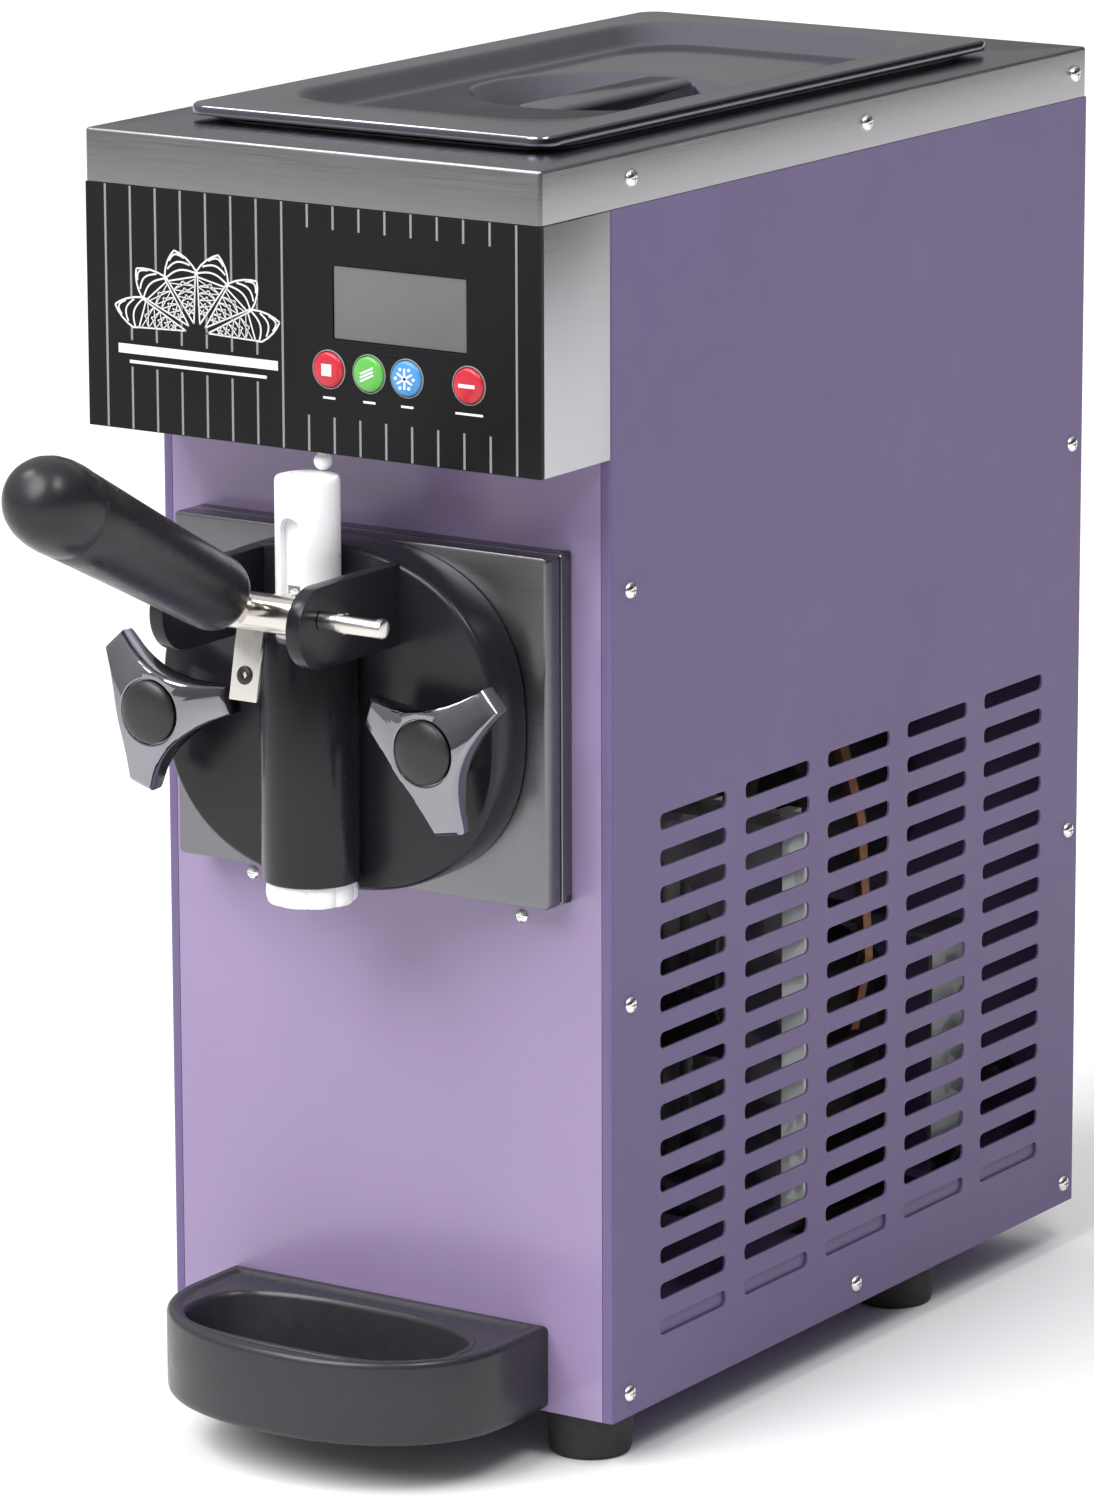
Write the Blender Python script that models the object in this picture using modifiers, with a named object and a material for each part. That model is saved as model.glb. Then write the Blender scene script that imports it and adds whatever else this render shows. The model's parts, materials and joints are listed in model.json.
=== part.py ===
"""Countertop soft-serve ice cream machine, one named object per separate piece.

Lengths in the constants are millimetres in the cabinet frame: X to the machine's left and right with 0 at
its middle, Y from the front panel's face towards the back, Z up from the lower edge of the side panels.
place() turns them into world metres, with the origin under the middle of the whole machine.
"""

from math import asin, atan2, cos, degrees, hypot, pi, radians, sin

import bmesh
import bpy
from mathutils import Matrix, Vector

MM = 0.001
SHIFT_Y = -83.313
SHIFT_Z = 23.0
GAP = 0.3

# Cabinet
HALF_WIDTH = 120.0
DEPTH = 414.0
TOP_Z = 568.8
BAND_Z = 545.3
HEAD_Z = 436.4
HEAD_Y = -54.0
SHEET = 1.2
FOLD = 5.0
FASCIA_BACK_Y = -51.8

# Louvres of a side panel
LOUVRE_COLUMNS = 5
LOUVRE_ROWS = 15
LOUVRE_FIRST_Y = 67.0
LOUVRE_PITCH_Y = 71.0
LOUVRE_FIRST_Z = 34.2
LOUVRE_PITCH_Z = 16.65
LOUVRE_LENGTH = 55.0
LOUVRE_HEIGHT = 7.4

# Freezing cylinder, door and drive
AXIS_Z = 315.0
BARREL_R = 50.0
BARREL_BACK_Y = 190.0
FLANGE_R = 67.5
DOOR_FRONT_Y = -45.0
DOOR_SEAT_Y = -33.0
DOOR_BACK_Y = -20.6
DOOR_HALF_WIDTH = 89.5
DOOR_HALF_HEIGHT = 77.5
DOOR_SQUARENESS = 2.4
DOOR_POINTS = 48
VALVE_TUBE_R = 22.0
STUD_X = 73.0
STUD_Z = 316.0
STUD_R = 4.0
VALVE_Y = -57.0
VALVE_R = 14.4
VALVE_TOP_Z = 426.5
PIVOT_Y = -103.0
PIVOT_Z = 375.0
PIN_R = 3.0
PIN_HEAD_R = 4.5
PIN_END_X = 72.5
EAR_X = (32.5, 39.5)
EAR_R = 18.0
EAR_Z = 371.5
NOZZLE_TOP_Z = 246.0
GRIP_RISE_DEG = 27.1
BELT_Y = (258.0, 272.0)
GEAR_PULLEY_R = 45.0
MOTOR_PULLEY_R = 16.0
MOTOR_Z = 200.0
FAN_Z = 140.0
FAN_R = 78.0

# Hopper
HOPPER_X = 82.0
HOPPER_Y = (22.0, 345.0)
HOPPER_FLOOR_Z = 460.0
FEED_Y = 62.0
LID_X = 96.5
LID_Y = (-13.0, 366.0)
LID_TOP_Z = 576.3

# Drip tray and feet
TRAY_X = 86.0
TRAY_BASE_Z = 1.5
TRAY_TOP_Z = 40.5
TRAY_FRONT_Y = -98.0
TRAY_BOW_Y = -32.0
TRAY_SQUARENESS = 2.2
WELL_HALF_X = 70.5
WELL_HALF_Y = 33.0
WELL_Y = -50.0
HOOK_X = 50.0
HOOK_Z = 20.0
FOOT_X = 92.0
FOOT_YS = (25.0, 290.0)

# colour, roughness, metallic
FINISHES = {
    "purple_paint": ((0.235, 0.175, 0.330), 0.35, 0.0),
    "stainless": ((0.62, 0.62, 0.63), 0.30, 1.0),
    "dark_plastic": ((0.055, 0.055, 0.062), 0.42, 0.0),
    "black_fascia": ((0.012, 0.012, 0.014), 0.30, 0.0),
    "display_grey": ((0.26, 0.26, 0.27), 0.25, 0.0),
    "button_red": ((0.60, 0.03, 0.04), 0.35, 0.0),
    "button_green": ((0.12, 0.50, 0.10), 0.35, 0.0),
    "button_blue": ((0.10, 0.36, 0.70), 0.35, 0.0),
    "white_plastic": ((0.86, 0.86, 0.88), 0.35, 0.0),
    "chrome": ((0.80, 0.80, 0.82), 0.08, 1.0),
    "rubber": ((0.02, 0.02, 0.02), 0.75, 0.0),
    "galvanised": ((0.55, 0.57, 0.58), 0.45, 1.0),
    "copper": ((0.72, 0.36, 0.20), 0.35, 1.0),
    "foam": ((0.75, 0.70, 0.55), 0.90, 0.0),
    "cast_iron": ((0.05, 0.05, 0.055), 0.55, 0.3),
    "aluminium": ((0.60, 0.61, 0.62), 0.40, 1.0),
    "circuit_green": ((0.03, 0.20, 0.08), 0.50, 0.0),
}


def place(x, y, z):
    return Vector((x * MM, (y + SHIFT_Y) * MM, (z + SHIFT_Z) * MM))


for old in list(bpy.data.objects):
    bpy.data.objects.remove(old, do_unlink=True)

pieces = bpy.data.collections.new("soft_serve_machine")
cutters = bpy.data.collections.new("cutters")
bpy.context.scene.collection.children.link(pieces)
bpy.context.scene.collection.children.link(cutters)


def finish_material(name):
    """The Principled material of a finish, made once."""
    found = bpy.data.materials.get(name)
    if found:
        return found
    colour, roughness, metallic = FINISHES[name]
    material = bpy.data.materials.new(name)
    material.use_nodes = True
    shader = material.node_tree.nodes["Principled BSDF"]
    shader.inputs["Base Color"].default_value = (*colour, 1.0)
    shader.inputs["Roughness"].default_value = roughness
    shader.inputs["Metallic"].default_value = metallic
    material.diffuse_color = (*colour, 1.0)
    return material


def add(name, bm, closed=True):
    """A new object from a bmesh, with its normals out."""
    if closed:
        bmesh.ops.recalc_face_normals(bm, faces=bm.faces)
    mesh = bpy.data.meshes.new(name)
    bm.to_mesh(mesh)
    bm.free()
    obj = bpy.data.objects.new(name, mesh)
    pieces.objects.link(obj)
    return obj


def baked(obj):
    """The object with its modifiers and its matrix applied to the mesh."""
    bpy.context.view_layer.update()
    graph = bpy.context.evaluated_depsgraph_get()
    mesh = bpy.data.meshes.new_from_object(obj.evaluated_get(graph))
    mesh.transform(obj.matrix_world)
    name = obj.name
    bpy.data.objects.remove(obj, do_unlink=True)
    bm = bmesh.new()
    bm.from_mesh(mesh)
    bmesh.ops.remove_doubles(bm, verts=bm.verts, dist=2e-6)
    return add(name, bm)


def facing(axis):
    """Rotation that turns local +Z to a world axis."""
    return Vector(axis).to_track_quat("Z", "Y").to_matrix().to_4x4()


def block(name, x, y, z, bevel=0.0):
    """A box between two limits on each axis, its edges bevelled if asked."""
    bm = bmesh.new()
    bmesh.ops.create_cube(bm, size=1.0)
    low, high = place(x[0], y[0], z[0]), place(x[1], y[1], z[1])
    for vert in bm.verts:
        vert.co = (low + high) / 2 + Vector(vert.co[i] * (high - low)[i] for i in range(3))
    obj = add(name, bm)
    if bevel:
        modifier = obj.modifiers.new("Edges", "BEVEL")
        modifier.width = bevel * MM
        modifier.segments = 1
        obj = baked(obj)
    return obj


def rod(name, start, end, radius, segments=16, end_radius=None):
    """A solid round bar, or a cone, between two points."""
    first, last = place(*start), place(*end)
    bm = bmesh.new()
    bmesh.ops.create_cone(
        bm,
        cap_ends=True,
        segments=segments,
        radius1=radius * MM,
        radius2=(radius if end_radius is None else end_radius) * MM,
        depth=(last - first).length,
    )
    matrix = Matrix.Translation((first + last) / 2) @ facing(last - first)
    bmesh.ops.transform(bm, matrix=matrix, verts=bm.verts)
    return add(name, bm)


def turned(name, profile, base, axis, steps=24, closed=False):
    """A profile of (radius, height) turned about an axis through base."""
    bm = bmesh.new()
    ring = [bm.verts.new((radius * MM, 0.0, height * MM)) for radius, height in profile]
    for a, b in zip(ring, ring[1:] + ring[:1] if closed else ring[1:]):
        bm.edges.new((a, b))
    obj = add(name, bm, closed=False)
    screw = obj.modifiers.new("Turn", "SCREW")
    screw.axis = "Z"
    screw.steps = steps
    screw.render_steps = steps
    screw.use_merge_vertices = True
    screw.merge_threshold = 1e-5
    obj.matrix_world = Matrix.Translation(place(*base)) @ facing(axis)
    return baked(obj)


def ball(name, centre, radius, segments=16):
    profile = [(radius * sin(pi * i / 8), radius * cos(pi * i / 8)) for i in range(9)]
    profile[0] = (0.0, radius)
    profile[-1] = (0.0, -radius)
    return turned(name, profile, centre, (0, 0, 1), segments)


def sheet(name, outline, holes, plane, span):
    """A flat sheet cut from an outline with holes: plane names its two axes, span its limits on the third."""
    curve = bpy.data.curves.new(name, "CURVE")
    curve.dimensions = "2D"
    curve.fill_mode = "BOTH"
    curve.extrude = (span[1] - span[0]) / 2 * MM
    for points in [outline, *holes]:
        spline = curve.splines.new("POLY")
        spline.points.add(len(points) - 1)
        for point, (u, v) in zip(spline.points, points):
            point.co = (u * MM, v * MM, 0.0, 1.0)
        spline.use_cyclic_u = True
    obj = bpy.data.objects.new(name, curve)
    pieces.objects.link(obj)
    middle = (span[0] + span[1]) / 2
    origin = {"XY": (0, 0, middle), "XZ": (0, middle, 0), "YZ": (middle, 0, 0)}[plane]
    columns = {
        "XY": ((1, 0, 0), (0, 1, 0), (0, 0, 1)),
        "XZ": ((1, 0, 0), (0, 0, 1), (0, -1, 0)),
        "YZ": ((0, 1, 0), (0, 0, 1), (1, 0, 0)),
    }[plane]
    turn = Matrix(columns).transposed().to_4x4()
    obj.matrix_world = Matrix.Translation(place(*origin)) @ turn
    return baked(obj)


def tube(name, path, radius, wall_sides=2):
    """A bent round pipe along a path, its ends capped."""
    curve = bpy.data.curves.new(name, "CURVE")
    curve.dimensions = "3D"
    curve.bevel_depth = radius * MM
    curve.bevel_resolution = wall_sides
    curve.use_fill_caps = True
    spline = curve.splines.new("POLY")
    spline.points.add(len(path) - 1)
    for point, position in zip(spline.points, path):
        point.co = (*place(*position), 1.0)
    obj = bpy.data.objects.new(name, curve)
    pieces.objects.link(obj)
    return baked(obj)


def lofted(name, loops, start=True, end=True):
    """A skin over rings of equally many points, its first and last rings capped if asked."""
    bm = bmesh.new()
    rings = [[bm.verts.new(place(*point)) for point in loop] for loop in loops]
    count = len(loops[0])
    for ring, after in zip(rings, rings[1:]):
        for i in range(count):
            j = (i + 1) % count
            bm.faces.new((ring[i], ring[j], after[j], after[i]))
    if start:
        bm.faces.new(rings[0])
    if end:
        bm.faces.new(rings[-1])
    return add(name, bm)


def shell(obj, thickness, inwards=True):
    """Solidify an open skin."""
    modifier = obj.modifiers.new("Wall", "SOLIDIFY")
    modifier.thickness = thickness * MM
    modifier.offset = -1.0 if inwards else 1.0
    modifier.use_even_offset = True
    return baked(obj)


def open_box(name, x, y, z, wall, open_sides):
    """A folded sheet box with some of its sides left off."""
    obj = block(name, x, y, z)
    bm = bmesh.new()
    bm.from_mesh(obj.data)
    bpy.data.objects.remove(obj, do_unlink=True)
    sides = [Vector(side) for side in open_sides]
    gone = [face for face in bm.faces if any(face.normal.dot(side) > 0.9 for side in sides)]
    bmesh.ops.delete(bm, geom=gone, context="FACES")
    return shell(add(name, bm, closed=False), wall)


def combine(obj, others, operation="DIFFERENCE"):
    """Boolean the others with the object and keep them as hidden cutters."""
    for other in others:
        modifier = obj.modifiers.new(operation.title(), "BOOLEAN")
        modifier.operation = operation
        modifier.solver = "EXACT"
        modifier.object = other
        pieces.objects.unlink(other)
        cutters.objects.link(other)
        other.name = f"{obj.name}_tool_{other.name}"
        other.hide_render = True
        other.display_type = "WIRE"
    return obj


def finished(obj, finish, origin=None, smooth=False):
    """Give a piece its material, shading and the origin it moves about."""
    obj = baked(obj) if obj.modifiers else obj
    if origin:
        offset = place(*origin)
        obj.data.transform(Matrix.Translation(-offset))
        obj.location = offset
    obj.data.materials.clear()
    obj.data.materials.append(finish_material(finish))
    if smooth:
        obj.data.shade_smooth()
        obj.data.set_sharp_from_angle(angle=radians(35))
    return obj


def rectangle(x, y):
    return [(x[0], y[0]), (x[1], y[0]), (x[1], y[1]), (x[0], y[1])]


def circle(x, y, radius, count=24, turn=0.5):
    step = 2 * pi / count
    return [(x + radius * cos(step * (i + turn)), y + radius * sin(step * (i + turn))) for i in range(count)]


def slot(x, y, length, height):
    """A plain punched slot about its middle."""
    return rectangle((x - length / 2, x + length / 2), (y - height / 2, y + height / 2))


def rounded(x, y, radius, per_corner=5):
    """A rectangle with round corners, anticlockwise from its +x side."""
    points = []
    for corner, (cx, cy) in enumerate(
        (
            (x[1] - radius, y[1] - radius),
            (x[0] + radius, y[1] - radius),
            (x[0] + radius, y[0] + radius),
            (x[1] - radius, y[0] + radius),
        )
    ):
        for i in range(per_corner):
            angle = pi / 2 * (corner + i / (per_corner - 1))
            points.append((cx + radius * cos(angle), cy + radius * sin(angle)))
    return points


def level(points, z):
    return [(x, y, z) for x, y in points]


# ---------------------------------------------------------------- cabinet
base_pan = open_box("base_pan", (-118.4, 118.4), (1.8, 412.3), (0.4, 38.0), 1.4, [(0, 0, 1)])
finished(base_pan, "galvanised")

FOOT_PROFILE = [(0, 0), (20.2, 0), (18.6, -21.6), (17.6, -23.1), (0, -23.1)]
for depth_name, foot_y in zip(("front", "rear"), FOOT_YS):
    for side_name, side in (("left", -1), ("right", 1)):
        foot = turned(
            f"foot_{depth_name}_{side_name}", FOOT_PROFILE, (side * FOOT_X, foot_y, 0.1), (0, 0, 1), 16
        )
        finished(foot, "rubber", smooth=True)

front_holes = [circle(0, AXIS_Z, BARREL_R + 4)]
front_holes += [circle(side * STUD_X, STUD_Z, STUD_R + 0.4, 12) for side in (-1, 1)]
front_holes += [circle(side * HOOK_X, HOOK_Z, 3.3, 12) for side in (-1, 1)]
front_edge = HALF_WIDTH - FOLD - GAP
front_panel = sheet(
    "front_panel", rectangle((-front_edge, front_edge), (0, HEAD_Z)), front_holes, "XZ", (0, SHEET)
)
finished(front_panel, "purple_paint")

louvres = [
    slot(
        LOUVRE_FIRST_Y + LOUVRE_PITCH_Y * column,
        LOUVRE_FIRST_Z + LOUVRE_PITCH_Z * row,
        LOUVRE_LENGTH,
        LOUVRE_HEIGHT,
    )
    for column in range(LOUVRE_COLUMNS)
    for row in range(LOUVRE_ROWS)
]


def folded(panel, side):
    """Turn the front edge of a side panel inwards, as a narrow flange."""
    bm = bmesh.new()
    bm.from_mesh(panel.data)
    whole = [*bm.verts, *bm.edges, *bm.faces]
    line = place(0, SHEET, 0).y
    bmesh.ops.bisect_plane(bm, geom=whole, plane_co=(0, line, 0), plane_no=(0, 1, 0))
    inner = [
        face
        for face in bm.faces
        if face.normal.x * side < -0.9 and face.calc_center_median().y < line
    ]
    grown = bmesh.ops.extrude_face_region(bm, geom=inner)
    bmesh.ops.delete(bm, geom=inner, context="FACES")
    corners = [item for item in grown["geom"] if isinstance(item, bmesh.types.BMVert)]
    bmesh.ops.translate(bm, verts=corners, vec=(-side * (FOLD - SHEET) * MM, 0, 0))
    name = panel.name
    bpy.data.objects.remove(panel, do_unlink=True)
    return add(name, bm)


for side_name, side in (("left", -1), ("right", 1)):
    span = sorted((side * (HALF_WIDTH - SHEET), side * HALF_WIDTH))
    panel = sheet(
        f"{side_name}_side_panel", rectangle((0, DEPTH), (0, BAND_Z - GAP)), louvres, "YZ", span
    )
    finished(folded(panel, side), "purple_paint")

vents = [slot(x, 300 + 18 * row, 70, 8) for x in (-50, 50) for row in range(6)]
vents.append(circle(80, 60, 8.4, 16))
rear_panel = sheet(
    "rear_panel",
    rectangle((-118.4, 118.4), (0.4, BAND_Z - GAP)),
    vents,
    "XZ",
    (DEPTH - SHEET, DEPTH),
)
finished(rear_panel, "purple_paint")

top_cover = open_box(
    "top_cover", (-HALF_WIDTH, HALF_WIDTH), (HEAD_Y, DEPTH), (BAND_Z, TOP_Z), SHEET, [(0, 0, -1)]
)
opening = sheet(
    "opening",
    rounded((-HOPPER_X - 1.6, HOPPER_X + 1.6), (HOPPER_Y[0] - 1.6, HOPPER_Y[1] + 1.6), 21, 5),
    [],
    "XY",
    (TOP_Z - 10, TOP_Z + 10),
)
finished(combine(top_cover, [opening]), "stainless")

head_shell = open_box(
    "head_shell",
    (-HALF_WIDTH, HALF_WIDTH),
    (FASCIA_BACK_Y + GAP, -GAP),
    (HEAD_Z, BAND_Z - GAP),
    SHEET,
    [(0, 0, 1), (0, 1, 0), (0, -1, 0)],
)
PLUNGER_Y = -45.0
plunger_hole = rod("plunger_hole", (0, PLUNGER_Y, HEAD_Z - 5), (0, PLUNGER_Y, HEAD_Z + 5), 4.5)
finished(combine(head_shell, [plunger_hole]), "stainless")

# ---------------------------------------------------------------- control panel
BUTTONS = (
    ("button_stop", 10.1, "button_red"),
    ("button_clean", 31.2, "button_green"),
    ("button_cold", 51.0, "button_blue"),
    ("button_set", 83.1, "button_red"),
)
BUTTON_Z = 473.6
DISPLAY_X = (12.3, 81.9)
DISPLAY_Z = (487.0, 519.5)
fascia_holes = [rectangle(DISPLAY_X, DISPLAY_Z)]
fascia_holes += [circle(x, BUTTON_Z, 8.3, 20) for _, x, _ in BUTTONS]
control_panel = sheet(
    "control_panel",
    rectangle((-119.9, 119.9), (HEAD_Z, BAND_Z - GAP)),
    fascia_holes,
    "XZ",
    (HEAD_Y, FASCIA_BACK_Y),
)
finished(control_panel, "black_fascia")

display_window = block(
    "display_window",
    (DISPLAY_X[0] + GAP, DISPLAY_X[1] - GAP),
    (HEAD_Y + 0.5, FASCIA_BACK_Y + 1.0),
    (DISPLAY_Z[0] + GAP, DISPLAY_Z[1] - GAP),
)
finished(display_window, "display_grey")

BUTTON_PROFILE = [(0, 5.4), (6.6, 5.1), (7.8, 4.4), (7.8, 0), (0, 0)]
for name, x, finish in BUTTONS:
    button = turned(name, BUTTON_PROFILE, (x, -50.6, BUTTON_Z), (0, -1, 0), 20)
    finished(button, finish, origin=(x, -50.6, BUTTON_Z), smooth=True)

control_board = block("control_board", (5, 105), (-48.4, -46.8), (455, 535))
chips = [
    block("relay", (20, 44), (-47.4, -30), (500, 524)),
    block("relay", (56, 80), (-47.4, -34), (496, 524)),
    block("chip", (30, 50), (-47.4, -43), (464, 478)),
]
finished(combine(control_board, chips, "UNION"), "circuit_green")

# ---------------------------------------------------------------- hopper and lid
pan_x, pan_y = (-HOPPER_X, HOPPER_X), HOPPER_Y
pan_rim = rounded((-92, 92), (-2, 357), 24)
pan_mouth = rounded(pan_x, pan_y, 20)
pan_floor = rounded((pan_x[0] + 5, pan_x[1] - 5), (pan_y[0] + 5, pan_y[1] - 5), 18)
hopper_pan = lofted(
    "hopper_pan",
    [level(pan_rim, TOP_Z + 1.3), level(pan_mouth, TOP_Z + 1.3), level(pan_floor, HOPPER_FLOOR_Z)],
    start=False,
)
hopper_pan = shell(hopper_pan, 1.0)
drain = rod("drain", (0, FEED_Y, HOPPER_FLOOR_Z - 8), (0, FEED_Y, HOPPER_FLOOR_Z + 8), 9)
finished(combine(hopper_pan, [drain]), "stainless")

hopper_insulation = open_box(
    "hopper_insulation", (-112, 112), (2.2, 366), (438, 566), 18.6, [(0, 0, 1)]
)
feed_bore = rod("feed_bore", (0, FEED_Y, 430), (0, FEED_Y, 470), 12.6)
finished(combine(hopper_insulation, [feed_bore]), "foam")

air_tube = turned(
    "air_tube",
    [(7, 84), (7, 3), (12, 2), (12, 0), (7.4, 0), (7.4, -14), (3.2, -14), (3.2, 84)],
    (0, FEED_Y, HOPPER_FLOOR_Z + 1.6),
    (0, 0, 1),
    16,
    closed=True,
)
finished(air_tube, "white_plastic", smooth=True)

gasket_outer = rounded((-93.5, 93.5), (-10, 363), 18)
gasket_inner = rounded((-84, 84), (8, 349), 20)
lid_gasket = sheet("lid_gasket", gasket_outer, [gasket_inner], "XY", (570.4, 574.8))
finished(lid_gasket, "rubber", origin=(0, 180, 570.4))

lid_corner = 11.0
lid_loops = [
    level(rounded((-LID_X, LID_X), LID_Y, lid_corner), 571.5),
    level(rounded((-LID_X, LID_X), LID_Y, lid_corner), LID_TOP_Z - 1.4),
    level(rounded((-LID_X + 1.4, LID_X - 1.4), (LID_Y[0] + 1.4, LID_Y[1] - 1.4), lid_corner), LID_TOP_Z),
    level(rounded((-79, 79), (25, 342), 20), LID_TOP_Z),
    level(rounded((-72, 72), (32, 335), 16), LID_TOP_Z - 10),
    level(circle(0, 180, 62, 20), LID_TOP_Z - 10),
    level(circle(0, 180, 52, 20), LID_TOP_Z - 24),
]
hopper_lid = shell(lofted("hopper_lid", lid_loops, start=False), 1.2)
grip_bar = lofted(
    "grip_bar",
    [
        level(rounded((-13, 13), (122, 238), 3), LID_TOP_Z - 24.6),
        level(rounded((-13, 13), (122, 238), 3), LID_TOP_Z - 12.5),
        level(rounded((-10.5, 10.5), (124, 236), 3), LID_TOP_Z - 10.3),
    ],
)
finished(combine(hopper_lid, [grip_bar], "UNION"), "stainless", origin=(0, 180, 570.4))

# ---------------------------------------------------------------- freezing cylinder
feed_pipe = turned(
    "feed_pipe",
    [(12, 93.2), (12, 0), (9, 0), (9, 93.2)],
    (0, FEED_Y, 365.4),
    (0, 0, 1),
    16,
    closed=True,
)
finished(feed_pipe, "stainless", smooth=True)

barrel_base = (0, 0, AXIS_Z)
freezing_cylinder = turned(
    "freezing_cylinder",
    [
        (FLANGE_R, 32.4),
        (FLANGE_R, 20.4),
        (BARREL_R, 20.4),
        (BARREL_R, -BARREL_BACK_Y),
        (9.5, -BARREL_BACK_Y),
        (9.5, 3 - BARREL_BACK_Y),
        (BARREL_R - 3, 3 - BARREL_BACK_Y),
        (BARREL_R - 3, 27.6),
        (BARREL_R + 2, 27.6),
        (BARREL_R + 2, 32.4),
    ],
    barrel_base,
    (0, -1, 0),
    24,
    closed=True,
)
inlet = rod("inlet", (0, FEED_Y, AXIS_Z + 20), (0, FEED_Y, AXIS_Z + 70), 9)
finished(combine(freezing_cylinder, [inlet]), "stainless", smooth=True)

evaporator_jacket = turned(
    "evaporator_jacket",
    [(57, -80), (57, -176), (51, -176), (51, -80)],
    barrel_base,
    (0, -1, 0),
    24,
    closed=True,
)
finished(evaporator_jacket, "copper", smooth=True)

cylinder_insulation = turned(
    "cylinder_insulation",
    [(74, -22), (74, -186), (58, -186), (58, -22)],
    barrel_base,
    (0, -1, 0),
    24,
    closed=True,
)
sleeve_bore = rod("sleeve_bore", (0, FEED_Y, AXIS_Z + 40), (0, FEED_Y, AXIS_Z + 90), 12.6)
finished(combine(cylinder_insulation, [sleeve_bore]), "foam", smooth=True)

plate_x, plate_z = (-99.5, 99.5), (237.0, 394.0)


def plate_ring(inset, y):
    ring = rounded((plate_x[0] + inset, plate_x[1] - inset), (plate_z[0] + inset, plate_z[1] - inset), 1.5, 2)
    return [(x, y, z) for x, z in ring]


face_plate = lofted(
    "face_plate",
    [
        plate_ring(0, -GAP),
        plate_ring(0, -7.6),
        plate_ring(1.2, -8.6),
        plate_ring(0, -9.6),
        plate_ring(0, -19.2),
        plate_ring(0.8, -20.0),
    ],
    start=False,
)
face_plate = shell(face_plate, SHEET)
plate_bores = [rod("barrel_bore", (0, -40, AXIS_Z), (0, 0, AXIS_Z), BARREL_R + 2, 24)]
plate_bores += [
    rod("stud_bore", (side * STUD_X, -40, STUD_Z), (side * STUD_X, 0, STUD_Z), STUD_R + 0.5, 12)
    for side in (-1, 1)
]
finished(combine(face_plate, plate_bores), "stainless")

# ---------------------------------------------------------------- dasher and drive
DASHER_FRONT_Y = -28.0
BLADE_TURNS = 1.5
BLADE_STEPS = 16


def helical_blade(name, start_turn):
    """A scraper blade that winds round the dasher's shaft."""
    rings = []
    for i in range(BLADE_STEPS + 1):
        part = i / BLADE_STEPS
        angle = 2 * pi * (start_turn + BLADE_TURNS * part)
        y = DASHER_FRONT_Y + 8 + 196 * part
        corners = ((4, -1.5), (44.5, -1.5), (44.5, 1.5), (4, 1.5))
        rings.append([(r * cos(angle), y + offset, AXIS_Z + r * sin(angle)) for r, offset in corners])
    return lofted(name, rings)


dasher = turned(
    "dasher",
    [(0, 28), (6, 28), (6, -184), (9, -184), (9, -204.6), (0, -204.6)],
    barrel_base,
    (0, -1, 0),
    12,
)
blades = [helical_blade("blade_a", 0.0), helical_blade("blade_b", 0.5)]
finished(combine(dasher, blades, "UNION"), "stainless", origin=barrel_base, smooth=True)

shaft_seal = turned(
    "shaft_seal",
    [(16, -190.3), (16, -197), (9.4, -197), (9.4, -190.3)],
    barrel_base,
    (0, -1, 0),
    20,
    closed=True,
)
finished(shaft_seal, "rubber", smooth=True)

gearbox = block("gearbox", (-42, 42), (205.2, 250), (270, 360), 5)
boss = rod("boss", (0, 203, AXIS_Z), (0, 215, AXIS_Z), 24, 20)
shaft_pocket = rod("shaft_pocket", (0, 200, AXIS_Z), (0, 206, AXIS_Z), 9.6, 20)
finished(combine(combine(gearbox, [boss], "UNION"), [shaft_pocket]), "cast_iron")


def pulley(name, z, radius, shaft_y):
    """A flat belt pulley on a stub of shaft towards shaft_y."""
    wheel = rod(name, (0, BELT_Y[0], z), (0, BELT_Y[1], z), radius, 32)
    middle = (BELT_Y[0] + BELT_Y[1]) / 2
    stub = rod("stub", (0, shaft_y, z), (0, middle, z), 7, 16)
    return finished(combine(wheel, [stub], "UNION"), "aluminium", origin=(0, middle, z), smooth=True)


pulley("gearbox_pulley", AXIS_Z, GEAR_PULLEY_R, 250.4)
pulley("motor_pulley", MOTOR_Z, MOTOR_PULLEY_R, 279.6)


def belt_loop(extra):
    """The outline of a belt round both pulleys, standing off them by extra."""
    distance = AXIS_Z - MOTOR_Z
    lean = asin((GEAR_PULLEY_R - MOTOR_PULLEY_R) / distance)
    points = []
    for centre, radius, start, end in (
        (AXIS_Z, GEAR_PULLEY_R + extra, -lean, pi + lean),
        (MOTOR_Z, MOTOR_PULLEY_R + extra, pi + lean, 2 * pi - lean),
    ):
        for i in range(13):
            angle = start + (end - start) * i / 12
            points.append((radius * cos(angle), centre + radius * sin(angle)))
    return points


drive_belt = sheet("drive_belt", belt_loop(4.0), [belt_loop(1.0)], "XZ", (260, 270))
finished(drive_belt, "rubber")

drive_motor = turned(
    "drive_motor",
    [(0, -280), (20, -280), (44, -284), (48, -290), (48, -385), (40, -394), (0, -394)],
    (0, 0, MOTOR_Z),
    (0, -1, 0),
    20,
)
finished(drive_motor, "cast_iron", smooth=True)

motor_mount = open_box(
    "motor_mount", (-96, 96), (318, 352), (2.2, 151.6), 2.0, [(0, 0, -1), (0, 1, 0), (0, -1, 0)]
)
finished(motor_mount, "galvanised")

# ---------------------------------------------------------------- refrigeration
compressor = turned(
    "compressor",
    [(0, 144), (30, 141), (49, 128), (57, 112), (59, 96), (59, 34), (54, 18), (40, 8), (0, 8)],
    (0, 330, 0),
    (0, 0, 1),
    20,
)
compressor_foot = block("compressor_foot", (-74, 74), (285, 375), (3.0, 10))
finished(combine(compressor, [compressor_foot], "UNION"), "cast_iron", smooth=True)


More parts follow.
